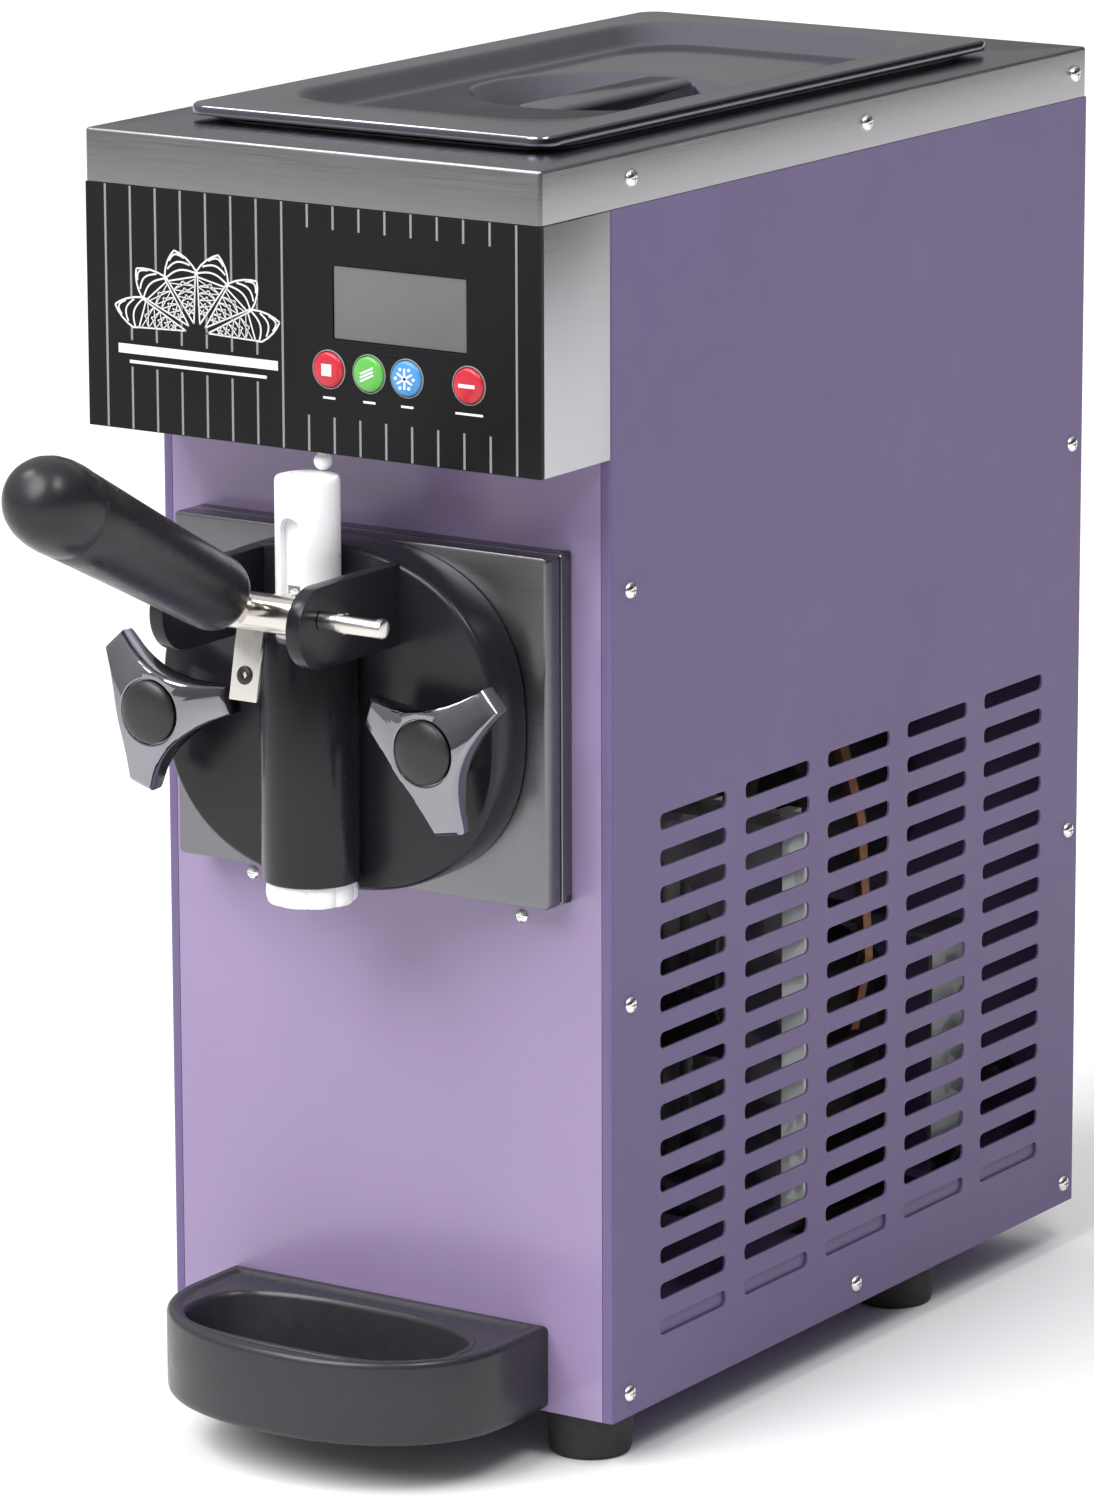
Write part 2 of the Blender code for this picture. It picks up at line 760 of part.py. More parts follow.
def fin_outline(x_limit, front, core_front, core_back, back, count):
    """The plan of a finned block: a core with fins towards the front and the back."""
    pitch = 2 * x_limit / count
    points = []
    for row_y, tip_y, direction in ((core_front, front, 1), (core_back, back, -1)):
        for i in range(count):
            left = direction * (-x_limit + pitch * i)
            points += [(left, tip_y), (left + direction * pitch * 0.5, tip_y)]
            if i < count - 1:
                points += [(left + direction * pitch * 0.5, row_y), (left + direction * pitch, row_y)]
    return points


condenser = sheet("condenser", fin_outline(100, 188, 196, 206, 214, 14), [], "XY", (44, 234))
finished(condenser, "aluminium")

fan_shroud = open_box("fan_shroud", (-104, 104), (168, 187.4), (42, 236), 1.5, [(0, 1, 0)])
shroud_mouth = rod("shroud_mouth", (0, 160, FAN_Z), (0, 180, FAN_Z), FAN_R + 4, 32)
finished(combine(fan_shroud, [shroud_mouth]), "galvanised")

FAN_Y = 160.0
condenser_fan = rod("condenser_fan", (0, 148.4, FAN_Z), (0, 170, FAN_Z), 20, 20)
fan_blades = []
for i in range(5):
    blade = block("blade", (14, FAN_R - 2), (FAN_Y - 1, FAN_Y + 1), (FAN_Z - 20, FAN_Z + 20))
    hub = place(0, FAN_Y, FAN_Z)
    pitch = Matrix.Rotation(radians(28), 4, "X")
    turn = Matrix.Rotation(radians(72 * i), 4, "Y")
    blade.data.transform(Matrix.Translation(hub) @ turn @ pitch @ Matrix.Translation(-hub))
    fan_blades.append(blade)
finished(combine(condenser_fan, fan_blades, "UNION"), "dark_plastic", origin=(0, FAN_Y, FAN_Z))

fan_motor = turned(
    "fan_motor",
    [(0, -100), (26, -100), (30, -106), (30, -138), (12, -140), (12, -148), (0, -148)],
    (0, 0, FAN_Z),
    (0, -1, 0),
    20,
)
fan_stand = block("fan_stand", (-24, 24), (114, 130), (2.2, FAN_Z - 20))
finished(combine(fan_motor, [fan_stand], "UNION"), "cast_iron")

suction_line = tube(
    "suction_line",
    [(54, 294, 100), (72, 284, 112), (84, 276, 150), (88, 262, 220), (86, 230, 300), (80, 198, 330)],
    4,
    1,
)
suction_line = finished(suction_line, "copper", smooth=True)

cable_gland = turned(
    "cable_gland",
    [(6, 12), (12, 12), (13.5, 6), (13.5, 0.3), (8, 0.3), (8, -10), (4.5, -10), (4.5, 12)],
    (80, DEPTH, 60),
    (0, 1, 0),
    16,
    closed=True,
)
finished(cable_gland, "rubber", smooth=True)

# ---------------------------------------------------------------- dispensing door
DOOR_ROUNDS = ((0.6, DOOR_BACK_Y), (0.0, DOOR_BACK_Y - 0.6), (0.0, DOOR_FRONT_Y + 1.6), (0.5, DOOR_FRONT_Y + 0.5),
               (1.6, DOOR_FRONT_Y))


def door_ring(inset, y):
    wide, tall = DOOR_HALF_WIDTH - inset, DOOR_HALF_HEIGHT - inset
    ring = []
    for i in range(DOOR_POINTS):
        across, up = cos(2 * pi * i / DOOR_POINTS), sin(2 * pi * i / DOOR_POINTS)
        reach = (abs(across) ** DOOR_SQUARENESS + abs(up) ** DOOR_SQUARENESS) ** (-1 / DOOR_SQUARENESS)
        ring.append((wide * reach * across, y, AXIS_Z + 2 + tall * reach * up))
    return ring


dispensing_door = lofted("dispensing_door", [door_ring(inset, y) for inset, y in DOOR_ROUNDS])
valve_tube = rod("valve_tube", (0, VALVE_Y, NOZZLE_TOP_Z + GAP), (0, VALVE_Y, 356), VALVE_TUBE_R, 24)
ears = []
for side in (-1, 1):
    sweep = [radians(90 + 18 * i) for i in range(11)]
    ear_profile = [(PIVOT_Y + 1 + EAR_R * cos(a), EAR_Z + EAR_R * sin(a)) for a in sweep]
    ear_profile += [(DOOR_FRONT_Y + 6, EAR_Z - EAR_R), (DOOR_FRONT_Y + 6, EAR_Z + EAR_R)]
    ears.append(sheet(f"ear_{side}", ear_profile, [], "YZ", sorted((side * EAR_X[0], side * EAR_X[1]))))
dispensing_door = combine(dispensing_door, [valve_tube, *ears], "UNION")
door_cuts = [
    rod("flange_recess", (0, DOOR_SEAT_Y, AXIS_Z), (0, -10, AXIS_Z), FLANGE_R + 0.7, 48),
    rod("valve_bore", (0, VALVE_Y, 240), (0, VALVE_Y, 420), VALVE_R + 0.35, 24),
    rod("outlet_bore", (0, -58, 262), (0, -28, 272), 10, 16),
    rod("pin_bore", (-50, PIVOT_Y, PIVOT_Z), (50, PIVOT_Y, PIVOT_Z), PIN_R + 0.35, 16),
    rod("nozzle_seat", (0, VALVE_Y, 225), (0, VALVE_Y, NOZZLE_TOP_Z + GAP), 21, 24),
]
door_cuts += [
    rod("stud_bore", (side * STUD_X, -65, STUD_Z), (side * STUD_X, -10, STUD_Z), STUD_R + 0.6, 12)
    for side in (-1, 1)
]
finished(combine(dispensing_door, door_cuts), "dark_plastic", smooth=True)

door_o_ring = turned(
    "door_o_ring",
    [(51.6, 32.1), (51.6, 28.0), (47.4, 28.0), (47.4, 32.1)],
    barrel_base,
    (0, -1, 0),
    24,
    closed=True,
)
finished(door_o_ring, "rubber", smooth=True)

# ---------------------------------------------------------------- studs and star knobs
KNOB_FRONT_Y = -77.0
KNOB_BACK_Y = DOOR_FRONT_Y - 0.5
KNOB_ARM_R = 38.5
CAP_R = 14.2
KNOB_ARM_HALF_WIDTH = 6.0
KNOB_WAIST_R = 18.5
KNOB_HOLLOW_R = 80.0
KNOB_SPREADS = (-8.86, 0, 8.86, 15, 23, 33, 46, 60, 74, 87, 97, 105)
KNOB_TURNS = {"left": 12.0, "right": 40.0}


def knob_radius(offset):
    """The three-armed outline at an angle from an arm: flat tips joined by hollow flanks."""
    from_arm = abs((offset + 60) % 120 - 60)
    if from_arm < degrees(atan2(KNOB_ARM_HALF_WIDTH, KNOB_ARM_R)) + 0.01:
        return KNOB_ARM_R / cos(radians(from_arm))
    from_waist = radians(60 - from_arm)
    reach = KNOB_WAIST_R + KNOB_HOLLOW_R
    return reach * cos(from_waist) - (KNOB_HOLLOW_R**2 - (reach * sin(from_waist)) ** 2) ** 0.5


def knob_ring(centre_x, turn, radius_at, y_at):
    ring = []
    for arm in range(3):
        for spread in KNOB_SPREADS:
            radius = radius_at(spread)
            angle = radians(turn + 120 * arm + spread)
            ring.append((centre_x + radius * cos(angle), y_at(radius), STUD_Z + radius * sin(angle)))
    return ring


def swept_back(radius):
    """How far the knob's arms lie behind its hub."""
    return 10.0 * max(radius - CAP_R, 0) / (KNOB_ARM_R - CAP_R)


for side_name, side in (("left", -1), ("right", 1)):
    x = side * STUD_X
    stud = turned(
        f"stud_{side_name}",
        [(0, 70.5), (STUD_R, 70.5), (STUD_R, -1.5), (8, -1.5), (8, -5.5), (0, -5.5)],
        (x, 0, STUD_Z),
        (0, -1, 0),
        16,
    )
    finished(stud, "stainless", smooth=True)
    turn = KNOB_TURNS[side_name]
    outline = (
        (0.36, lambda r: KNOB_BACK_Y),
        (0.96, lambda r: KNOB_FRONT_Y + 15 + 0.2 * swept_back(r)),
        (1.0, lambda r: KNOB_FRONT_Y + 2 + swept_back(r)),
        (0.93, lambda r: KNOB_FRONT_Y + swept_back(r)),
    )
    rings = [knob_ring(x, turn, lambda a, k=scale: k * knob_radius(a), y_at) for scale, y_at in outline]
    rings.append(knob_ring(x, turn, lambda a: CAP_R, lambda r: KNOB_FRONT_Y))
    knob = lofted(f"star_knob_{side_name}", rings)
    stud_hole = rod("stud_hole", (x, -71.5, STUD_Z), (x, -40, STUD_Z), STUD_R + 0.4, 16)
    finished(combine(knob, [stud_hole]), "chrome", origin=(x, KNOB_BACK_Y, STUD_Z), smooth=True)
    cap = turned(
        f"knob_cap_{side_name}",
        [(0, 3.2), (8, 2.8), (12.8, 1.4), (CAP_R, 0), (0, 0)],
        (x, KNOB_FRONT_Y - GAP, STUD_Z),
        (0, -1, 0),
        24,
    )
    finished(cap, "rubber", origin=(x, KNOB_BACK_Y, STUD_Z), smooth=True)

# ---------------------------------------------------------------- draw valve and lever
FINGER_Y = -67.0
draw_valve = turned(
    "draw_valve",
    [(0, VALVE_TOP_Z), (VALVE_R - 1.2, VALVE_TOP_Z), (VALVE_R, VALVE_TOP_Z - 1.2), (VALVE_R, 263.2),
     (VALVE_R - 1.2, 262), (0, 262)],
    (0, VALVE_Y, 0),
    (0, 0, 1),
    24,
)
valve_slot = block("valve_slot", (-5.2, 5.2), (-80, -67.0), (365, 410))
finger_pocket = block("finger_pocket", (-4, 4), (-80, -62.6), (370.8, 379.2))
draw_valve = combine(draw_valve, [valve_slot, finger_pocket])
finished(draw_valve, "white_plastic", origin=(0, VALVE_Y, VALVE_TOP_Z), smooth=True)

switch_plunger = turned(
    "switch_plunger",
    [(0, 452), (2.2, 452), (2.2, 434.6), (3.6, 433.4), (4.1, 430.8), (3.2, 428), (0, 426.8)],
    (0, PLUNGER_Y, 0),
    (0, 0, 1),
    16,
)
finished(switch_plunger, "white_plastic", origin=(0, PLUNGER_Y, 426.8), smooth=True)

pivot = (0, PIVOT_Y, PIVOT_Z)
rise = radians(GRIP_RISE_DEG)


def along_grip(distance):
    return (0, PIVOT_Y - distance * cos(rise), PIVOT_Z + distance * sin(rise))


lever_yoke = rod("lever_yoke", (-16, PIVOT_Y, PIVOT_Z), (EAR_X[0] - 0.6, PIVOT_Y, PIVOT_Z), 8.5, 24)
tail_profile = [
    (PIVOT_Y - 3.6, PIVOT_Z - 2),
    (PIVOT_Y - 10.9, PIVOT_Z - 38),
    (PIVOT_Y - 8.1, PIVOT_Z - 38),
    (PIVOT_Y - 0.6, PIVOT_Z - 2),
]
tail = sheet("tail", tail_profile, [], "YZ", (-2.2, 12.2))
yoke_parts = [
    tail,
    rod("neck", along_grip(0), along_grip(20), 7.2, 16),
    rod("stem", along_grip(10), along_grip(56), 5, 16),
    rod("finger", (0, PIVOT_Y, PIVOT_Z), (0, FINGER_Y, PIVOT_Z), 2.0, 12),
    ball("finger_tip", (0, FINGER_Y, PIVOT_Z), 3.4, 12),
]
lever_yoke = combine(lever_yoke, yoke_parts, "UNION")
hub_bore = rod("hub_bore", (-40, PIVOT_Y, PIVOT_Z), (40, PIVOT_Y, PIVOT_Z), PIN_R + 0.35, 16)
finished(combine(lever_yoke, [hub_bore]), "stainless", origin=pivot, smooth=True)

grip_profile = [
    (5.4, 20.4), (13.5, 20.4), (17, 25), (18.6, 90), (20.3, 145), (19.4, 157.5), (13.6, 168.7), (0, 172.8),
    (0, 58), (5.4, 58),
]
handle_grip = turned(
    "handle_grip",
    list(reversed(grip_profile)),
    pivot,
    (0, -cos(rise), sin(rise)),
    20,
    closed=True,
)
finished(handle_grip, "dark_plastic", origin=pivot, smooth=True)

pivot_pin = turned(
    "pivot_pin",
    [(0, PIN_END_X), (3.8, PIN_END_X), (PIN_HEAD_R, PIN_END_X - 0.8), (PIN_HEAD_R, 40), (PIN_R, 40),
     (PIN_R, -41), (0, -41)],
    pivot,
    (1, 0, 0),
    16,
)
finished(pivot_pin, "stainless", smooth=True)

# ---------------------------------------------------------------- nozzle
NOZZLE_LOBES = 6
lobed = []
for i in range(48):
    angle = 2 * pi * i / 48
    radius = 19.3 + 1.2 * cos(NOZZLE_LOBES * angle)
    lobed.append((radius * cos(angle), VALVE_Y + radius * sin(angle)))
star = []
for i in range(12):
    angle = 2 * pi * i / 12
    radius = 9.5 if i % 2 else 5.2
    star.append((radius * cos(angle), VALVE_Y + radius * sin(angle)))
nozzle_cap = sheet("nozzle_cap", lobed, [star], "XY", (236.6, NOZZLE_TOP_Z))
finished(nozzle_cap, "white_plastic", smooth=True)

# ---------------------------------------------------------------- drip tray


def tray_outline(inset, back, z):
    """The D-shaped plan of the tray: straight back and sides, a bowed front."""
    side_x, front_y = TRAY_X - inset, TRAY_FRONT_Y + inset
    right = [(side_x * part, back) for part in (0, 0.35, 0.65, 0.86, 1)]
    right += [(side_x, 0.5 * TRAY_BOW_Y), (side_x, TRAY_BOW_Y)]
    for i in range(1, 10):
        angle = radians(10 * i)
        across, forward = cos(angle) ** (2 / TRAY_SQUARENESS), sin(angle) ** (2 / TRAY_SQUARENESS)
        right.append((side_x * across, TRAY_BOW_Y + (front_y - TRAY_BOW_Y) * forward))
    right[-1] = (0.0, front_y)
    return [(u, v, z) for u, v in right + [(-u, v) for u, v in reversed(right[1:-1])]]


def tray_well(scale, z):
    """The oval well, with as many points as the outline."""
    ring = []
    for u, v, _ in tray_outline(0, -4.0, 0):
        angle = atan2((v - WELL_Y) / 48.0, u / TRAY_X)
        reach = scale * (abs(cos(angle)) ** 2.8 + abs(sin(angle)) ** 2.8) ** (-1 / 2.8)
        ring.append((WELL_HALF_X * reach * cos(angle), WELL_Y + WELL_HALF_Y * reach * sin(angle), z))
    return ring


drip_tray = lofted(
    "drip_tray",
    [
        tray_outline(3.0, -0.4, TRAY_BASE_Z),
        tray_outline(0.0, -0.4, TRAY_BASE_Z + 4.0),
        tray_outline(0.0, -0.4, TRAY_TOP_Z - 2.0),
        tray_outline(1.8, -2.2, TRAY_TOP_Z),
        tray_outline(5.0, -6.0, TRAY_TOP_Z),
        tray_outline(6.4, -7.4, TRAY_TOP_Z - 1.6),
        tray_well(1.0, TRAY_TOP_Z - 1.6),
        tray_well(0.93, 9.0),
        tray_well(0.80, 6.0),
    ],
)
tray_cuts = []
for side in (-1, 1):
    x = side * HOOK_X
    tray_cuts.append(block("neck_slot", (x - 3.5, x + 3.5), (-5, 5), (-5, HOOK_Z + 3.3)))
    tray_cuts.append(block("head_slot", (x - 6.2, x + 6.2), (-9.2, -3.8), (-5, HOOK_Z + 6.2)))
finished(combine(drip_tray, tray_cuts), "dark_plastic", origin=(0, 0, TRAY_TOP_Z), smooth=True)

for side_name, side in (("left", -1), ("right", 1)):
    hook = turned(
        f"tray_hook_{side_name}",
        [(0, 8.6), (5.6, 8.6), (5.6, 4.4), (3, 4.4), (3, -1.4), (0, -1.4)],
        (side * HOOK_X, 0, HOOK_Z),
        (0, -1, 0),
        12,
    )
    finished(hook, "stainless", smooth=True)
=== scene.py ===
"""Looks of the countertop soft-serve machine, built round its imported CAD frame."""
import json
from math import atan2, cos, hypot, pi, radians, sin

import bmesh
import bpy
from mathutils import Matrix, Vector


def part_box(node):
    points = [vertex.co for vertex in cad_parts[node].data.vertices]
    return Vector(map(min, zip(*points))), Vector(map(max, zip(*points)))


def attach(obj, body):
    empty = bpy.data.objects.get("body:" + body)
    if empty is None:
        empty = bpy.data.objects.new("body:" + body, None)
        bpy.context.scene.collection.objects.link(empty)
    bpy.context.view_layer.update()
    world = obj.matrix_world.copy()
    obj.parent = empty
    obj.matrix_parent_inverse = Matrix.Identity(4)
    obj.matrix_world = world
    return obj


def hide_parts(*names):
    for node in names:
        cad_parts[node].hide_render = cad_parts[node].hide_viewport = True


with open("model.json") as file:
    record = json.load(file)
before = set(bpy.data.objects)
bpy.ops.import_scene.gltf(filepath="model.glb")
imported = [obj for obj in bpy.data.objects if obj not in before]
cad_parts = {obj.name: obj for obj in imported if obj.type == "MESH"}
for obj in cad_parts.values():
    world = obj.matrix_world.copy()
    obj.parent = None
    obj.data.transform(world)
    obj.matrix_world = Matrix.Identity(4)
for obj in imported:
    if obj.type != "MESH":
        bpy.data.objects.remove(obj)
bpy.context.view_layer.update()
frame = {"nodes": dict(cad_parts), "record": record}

MM = 0.001
FRONT_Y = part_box("front_panel")[0].y
BASE_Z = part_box("front_panel")[0].z
SLOT_OF = {row["node"]: row["material_slot"] for row in frame["record"]["subparts"]}

# Cabinet sizes in millimetres, from the middle of its front bottom edge
HALF_WIDTH = 120.0
DEPTH = 414.0
SHEET = 1.2
TOP_Z = 568.8
BAND_Z = 545.3
PANEL_TOP_Z = BAND_Z - 0.3
HEAD_TOP_Z = 545.0
HEAD_Z = 436.4
HEAD_Y = -54.0
# Freezing cylinder, face plate, door, valve and lever
AXIS_Z = 315.0
PLATE_Y = -20.0
DOOR_Z = 317.0
DOOR_HALF_WIDTH, DOOR_HALF_HEIGHT = 89.5, 77.5
DOOR_SQUARENESS = 2.4
DOOR_BACK_Y = -20.6
DOOR_FRONT_Y = -45.0
TUBE_RADIUS = 22.0
NOZZLE_TOP_Z = 246.3
VALVE_Y = -57.0
PLUNGER_Y = -45.0
STUD_Z = 316.0
STUDS = (("left", -73.0), ("right", 73.0))
PIN_BORE = 3.35
PIVOT = (0.0, -103.0, 375.0)
RISE = radians(27.1)
SIDES = (("left", -1), ("right", 1))


def place(x, y, z):
    """Cabinet millimetres to the frame's metres."""
    return Vector((x * MM, FRONT_Y + y * MM, BASE_Z + z * MM))


# ---------------------------------------------------------------- materials
class Surface:
    """A Principled material with procedural colour, roughness and bump."""

    def __init__(self, name, colour, roughness, metallic=0.0, coat=0.0, specular=0.5):
        self.material = bpy.data.materials.new(name)
        self.material.use_nodes = True
        self.tree = self.material.node_tree
        self.shader = self.tree.nodes["Principled BSDF"]
        self.colour = colour
        self.shader.inputs["Base Color"].default_value = (*colour, 1.0)
        self.shader.inputs["Roughness"].default_value = roughness
        self.shader.inputs["Metallic"].default_value = metallic
        self.shader.inputs["Coat Weight"].default_value = coat
        self.shader.inputs["Coat Roughness"].default_value = 0.12
        self.shader.inputs["Specular IOR Level"].default_value = specular
        self.where = self.tree.nodes.new("ShaderNodeTexCoord").outputs["Object"]
        self.normal = None

    def node(self, kind, **values):
        """A new node with its inputs set."""
        made = self.tree.nodes.new(kind)
        for key, value in values.items():
            made.inputs[key].default_value = value
        return made

    def join(self, source, target):
        self.tree.links.new(source, target)

    def noise(self, scale, stretch=(1, 1, 1), detail=4.0, distortion=0.0):
        """Noise over the object, drawn out along the axes with a small stretch."""
        mapping = self.node("ShaderNodeMapping")
        mapping.inputs["Scale"].default_value = stretch
        self.join(self.where, mapping.inputs["Vector"])
        made = self.node("ShaderNodeTexNoise", Scale=scale, Detail=detail, Distortion=distortion)
        self.join(mapping.outputs["Vector"], made.inputs["Vector"])
        return made.outputs["Fac"]

    def cells(self, scale):
        made = self.node("ShaderNodeTexVoronoi", Scale=scale)
        self.join(self.where, made.inputs["Vector"])
        return made

    def tint(self, factor, low, high, start=0.3, end=0.7):
        """Colour that runs from low to high with the factor."""
        ramp = self.node("ShaderNodeValToRGB")
        ramp.color_ramp.elements[0].position = start
        ramp.color_ramp.elements[1].position = end
        ramp.color_ramp.elements[0].color = (*low, 1.0)
        ramp.color_ramp.elements[1].color = (*high, 1.0)
        self.join(factor, ramp.inputs["Fac"])
        self.join(ramp.outputs["Color"], self.shader.inputs["Base Color"])
        return self

    def vary(self, factor, spread):
        """The base colour, a little darker and lighter with the factor."""
        low = tuple(c * (1 - spread) for c in self.colour)
        high = tuple(min(1.0, c * (1 + spread)) for c in self.colour)
        return self.tint(factor, low, high)

    def rough(self, factor, low, high):
        """Roughness that runs from low to high with the factor."""
        span = self.node("ShaderNodeMapRange")
        span.inputs["From Min"].default_value = 0.3
        span.inputs["From Max"].default_value = 0.7
        span.inputs["To Min"].default_value = low
        span.inputs["To Max"].default_value = high
        self.join(factor, span.inputs["Value"])
        self.join(span.outputs["Result"], self.shader.inputs["Roughness"])
        return self

    def bump(self, factor, strength, depth):
        """Relief on top of any bump added before."""
        made = self.node("ShaderNodeBump", Strength=strength, Distance=depth)
        self.join(factor, made.inputs["Height"])
        if self.normal:
            self.join(self.normal, made.inputs["Normal"])
        self.normal = made.outputs["Normal"]
        self.join(self.normal, self.shader.inputs["Normal"])
        return self


def paint(name, colour, roughness, specular, coat):
    """Baked paint with a faint orange peel."""
    made = Surface(name, colour, roughness[0], coat=coat, specular=specular)
    made.vary(made.noise(9, detail=3), 0.035)
    made.rough(made.noise(60, detail=6), *roughness)
    return made.bump(made.noise(110, detail=1), 0.035, 0.0004).material


def brushed(name, colour, stretch, roughness=(0.24, 0.38), strength=0.25, spread=0.045):
    """Metal with a grain drawn out by the stretch."""
    made = Surface(name, colour, roughness[0], metallic=1.0)
    grain = made.noise(1.0, stretch, detail=5)
    made.vary(grain, spread)
    made.rough(grain, *roughness)
    made.bump(grain, strength, 0.00006)
    return made.bump(made.noise(7, detail=2), 0.10, 0.0006).material


def polished(name, colour, roughness):
    """Plated or polished metal, a little uneven."""
    made = Surface(name, colour, roughness[0], metallic=1.0)
    made.vary(made.noise(35), 0.03)
    made.rough(made.noise(90, detail=6, distortion=0.6), *roughness)
    return made.bump(made.noise(220, detail=2), 0.03, 0.0002).material


def moulded(name, colour, roughness, spread=0.08, grain=620, strength=0.05, specular=0.5):
    """Moulded plastic or rubber, film or ink, with a fine grain."""
    made = Surface(name, colour, roughness[0], specular=specular)
    made.vary(made.noise(14, detail=5), spread)
    made.rough(made.noise(120, detail=5), *roughness)
    made.bump(made.cells(grain).outputs["Distance"], strength, 0.00012)
    return made.bump(made.noise(18, detail=2), 0.05, 0.0008).material


def zinc(name):
    """Galvanised sheet with spangles."""
    made = Surface(name, (0.40, 0.41, 0.43), 0.4, metallic=1.0)
    cells = made.cells(85)
    made.tint(cells.outputs["Color"], (0.30, 0.31, 0.33), (0.46, 0.47, 0.49), 0.2, 0.8)
    return made.rough(cells.outputs["Color"], 0.32, 0.52).material


def foam_surface(name):
    """Matt foam with open cells."""
    made = Surface(name, (0.72, 0.66, 0.50), 0.9)
    cells = made.cells(420)
    made.vary(made.noise(25), 0.12)
    return made.bump(cells.outputs["Distance"], 0.5, 0.0006).material


MATERIALS = {
    "purple_paint": paint("panel_paint_gloss", (0.275, 0.208, 0.362), (0.18, 0.26), 0.50, 0.15),
    "dark_plastic": moulded("moulded_dark", (0.021, 0.0205, 0.025), (0.25, 0.35), specular=0.42),
    "black_fascia": moulded("fascia_film", (0.009, 0.009, 0.010), (0.26, 0.34), 0.15, 300, 0.01, 0.12),
    "display_grey": moulded("display_film", (0.138, 0.138, 0.140), (0.28, 0.36), 0.06, 300, 0.01, 0.20),
    "button_red": moulded("button_red_gloss", (0.50, 0.018, 0.035), (0.20, 0.28), 0.06, 300, 0.01),
    "button_green": moulded("button_green_gloss", (0.11, 0.42, 0.07), (0.20, 0.28), 0.06, 300, 0.01),
    "button_blue": moulded("button_blue_gloss", (0.06, 0.27, 0.60), (0.20, 0.28), 0.06, 300, 0.01),
    "white_plastic": moulded("moulded_white", (0.95, 0.95, 0.97), (0.24, 0.34), 0.02, 300, 0.02),
    "rubber": moulded("black_rubber", (0.018, 0.018, 0.019), (0.62, 0.80), 0.15, 700, 0.12),
    "chrome": polished("chrome_plate", (0.27, 0.27, 0.295), (0.05, 0.11)),
    "stainless": brushed("steel_brushed", (0.60, 0.60, 0.61), (60, 60, 1900)),
    "galvanised": zinc("zinc_sheet"),
    "copper": brushed("copper_tube", (0.30, 0.15, 0.09), (400, 400, 400), (0.32, 0.46)),
    "foam": foam_surface("insulating_foam"),
    "cast_iron": moulded("black_enamel", (0.022, 0.022, 0.024), (0.35, 0.55), 0.2, 500, 0.35),
    "aluminium": brushed("aluminium_fins", (0.55, 0.56, 0.57), (300, 300, 60), (0.35, 0.5)),
    "circuit_green": moulded("circuit_laminate", (0.02, 0.16, 0.06), (0.35, 0.5), 0.3, 600, 0.1),
}
# A darker copy of the front's purple paint, with painted shade, for the side panels, the rear panel and
# the base pan; its rougher satin finish is real.
SHADED_SIDE_PAINT = paint("panel_paint_satin_painted_shade", (0.143, 0.108, 0.226), (0.28, 0.38), 0.18, 0.0)
# Copies of the band's brushed steel by face direction: the top is a darker bluish copy, painted shade,
# and the sides a lighter copy, painted light.
STEEL_TOP_PAINTED_SHADE = brushed("steel_top_painted_shade", (0.165, 0.166, 0.198), (1500, 26, 60), (0.18, 0.28), 0.15)
STEEL_BAND = brushed("steel_band_brushed", (0.245, 0.245, 0.246), (26, 26, 1900), (0.26, 0.38))
STEEL_BAND_SIDE_PAINTED_LIGHT = brushed("steel_band_side_painted_light", (0.42, 0.415, 0.43), (26, 26, 1900), (0.26, 0.38))
# A lighter copy of the band's brushed steel for the head's sides: painted light.
STEEL_HEAD_PAINTED_LIGHT = brushed("steel_head_painted_light", (0.46, 0.46, 0.48), (26, 26, 1900), (0.30, 0.42))
STEEL_PLATE = brushed(
    "steel_plate_brushed", (0.190, 0.188, 0.200), (12, 12, 1700), (0.27, 0.30), 0.03, 0.02
)
STEEL_LID = brushed(
    "steel_lid_polished", (0.195, 0.196, 0.230), (900, 12, 60), (0.10, 0.14), 0.03, 0.03
)
STEEL_CAST = polished("steel_polished", (0.66, 0.63, 0.59), (0.14, 0.26))
SILVER_INK = moulded("silver_ink", (0.23, 0.23, 0.24), (0.30, 0.40), 0.06, 300, 0.02)
WHITE_INK = moulded("white_ink", (0.72, 0.72, 0.74), (0.35, 0.45), 0.04, 300, 0.02)
SCREW_STEEL = polished("screw_steel", (0.80, 0.80, 0.80), (0.10, 0.18))
DOOR_BLACK = moulded("door_moulded_dark", (0.0135, 0.013, 0.0165), (0.20, 0.28), specular=0.30)
GRIP_BLACK = moulded("grip_moulded_dark", (0.0165, 0.016, 0.0195), (0.25, 0.35), specular=0.36)
KNOB_BLACK = moulded("knob_cap_black", (0.014, 0.014, 0.015), (0.30, 0.42), 0.1, 620, 0.06)


# ---------------------------------------------------------------- mesh helpers
def piece(name, bm, material, body="cabinet", replaces=(), smooth=35):
    """A finished piece from a bmesh."""
    return dressed(loose(bm, name), material, body, replaces, smooth)


def dressed(obj, material, body="cabinet", replaces=(), smooth=35):
    """The object with its material, riding on a body, and standing for CAD nodes if it replaces any."""
    obj.data.materials.clear()
    obj.data.materials.append(material)
    if smooth:
        obj.data.shade_smooth()
        obj.data.set_sharp_from_angle(angle=radians(smooth))
    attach(obj, body)
    if replaces:
        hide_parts(*replaces)
    return obj


def applied(obj):
    """The object with its modifiers applied."""
    bpy.context.view_layer.update()
    graph = bpy.context.evaluated_depsgraph_get()
    mesh = bpy.data.meshes.new_from_object(obj.evaluated_get(graph))
    obj.modifiers.clear()
    obj.data = mesh
    return obj


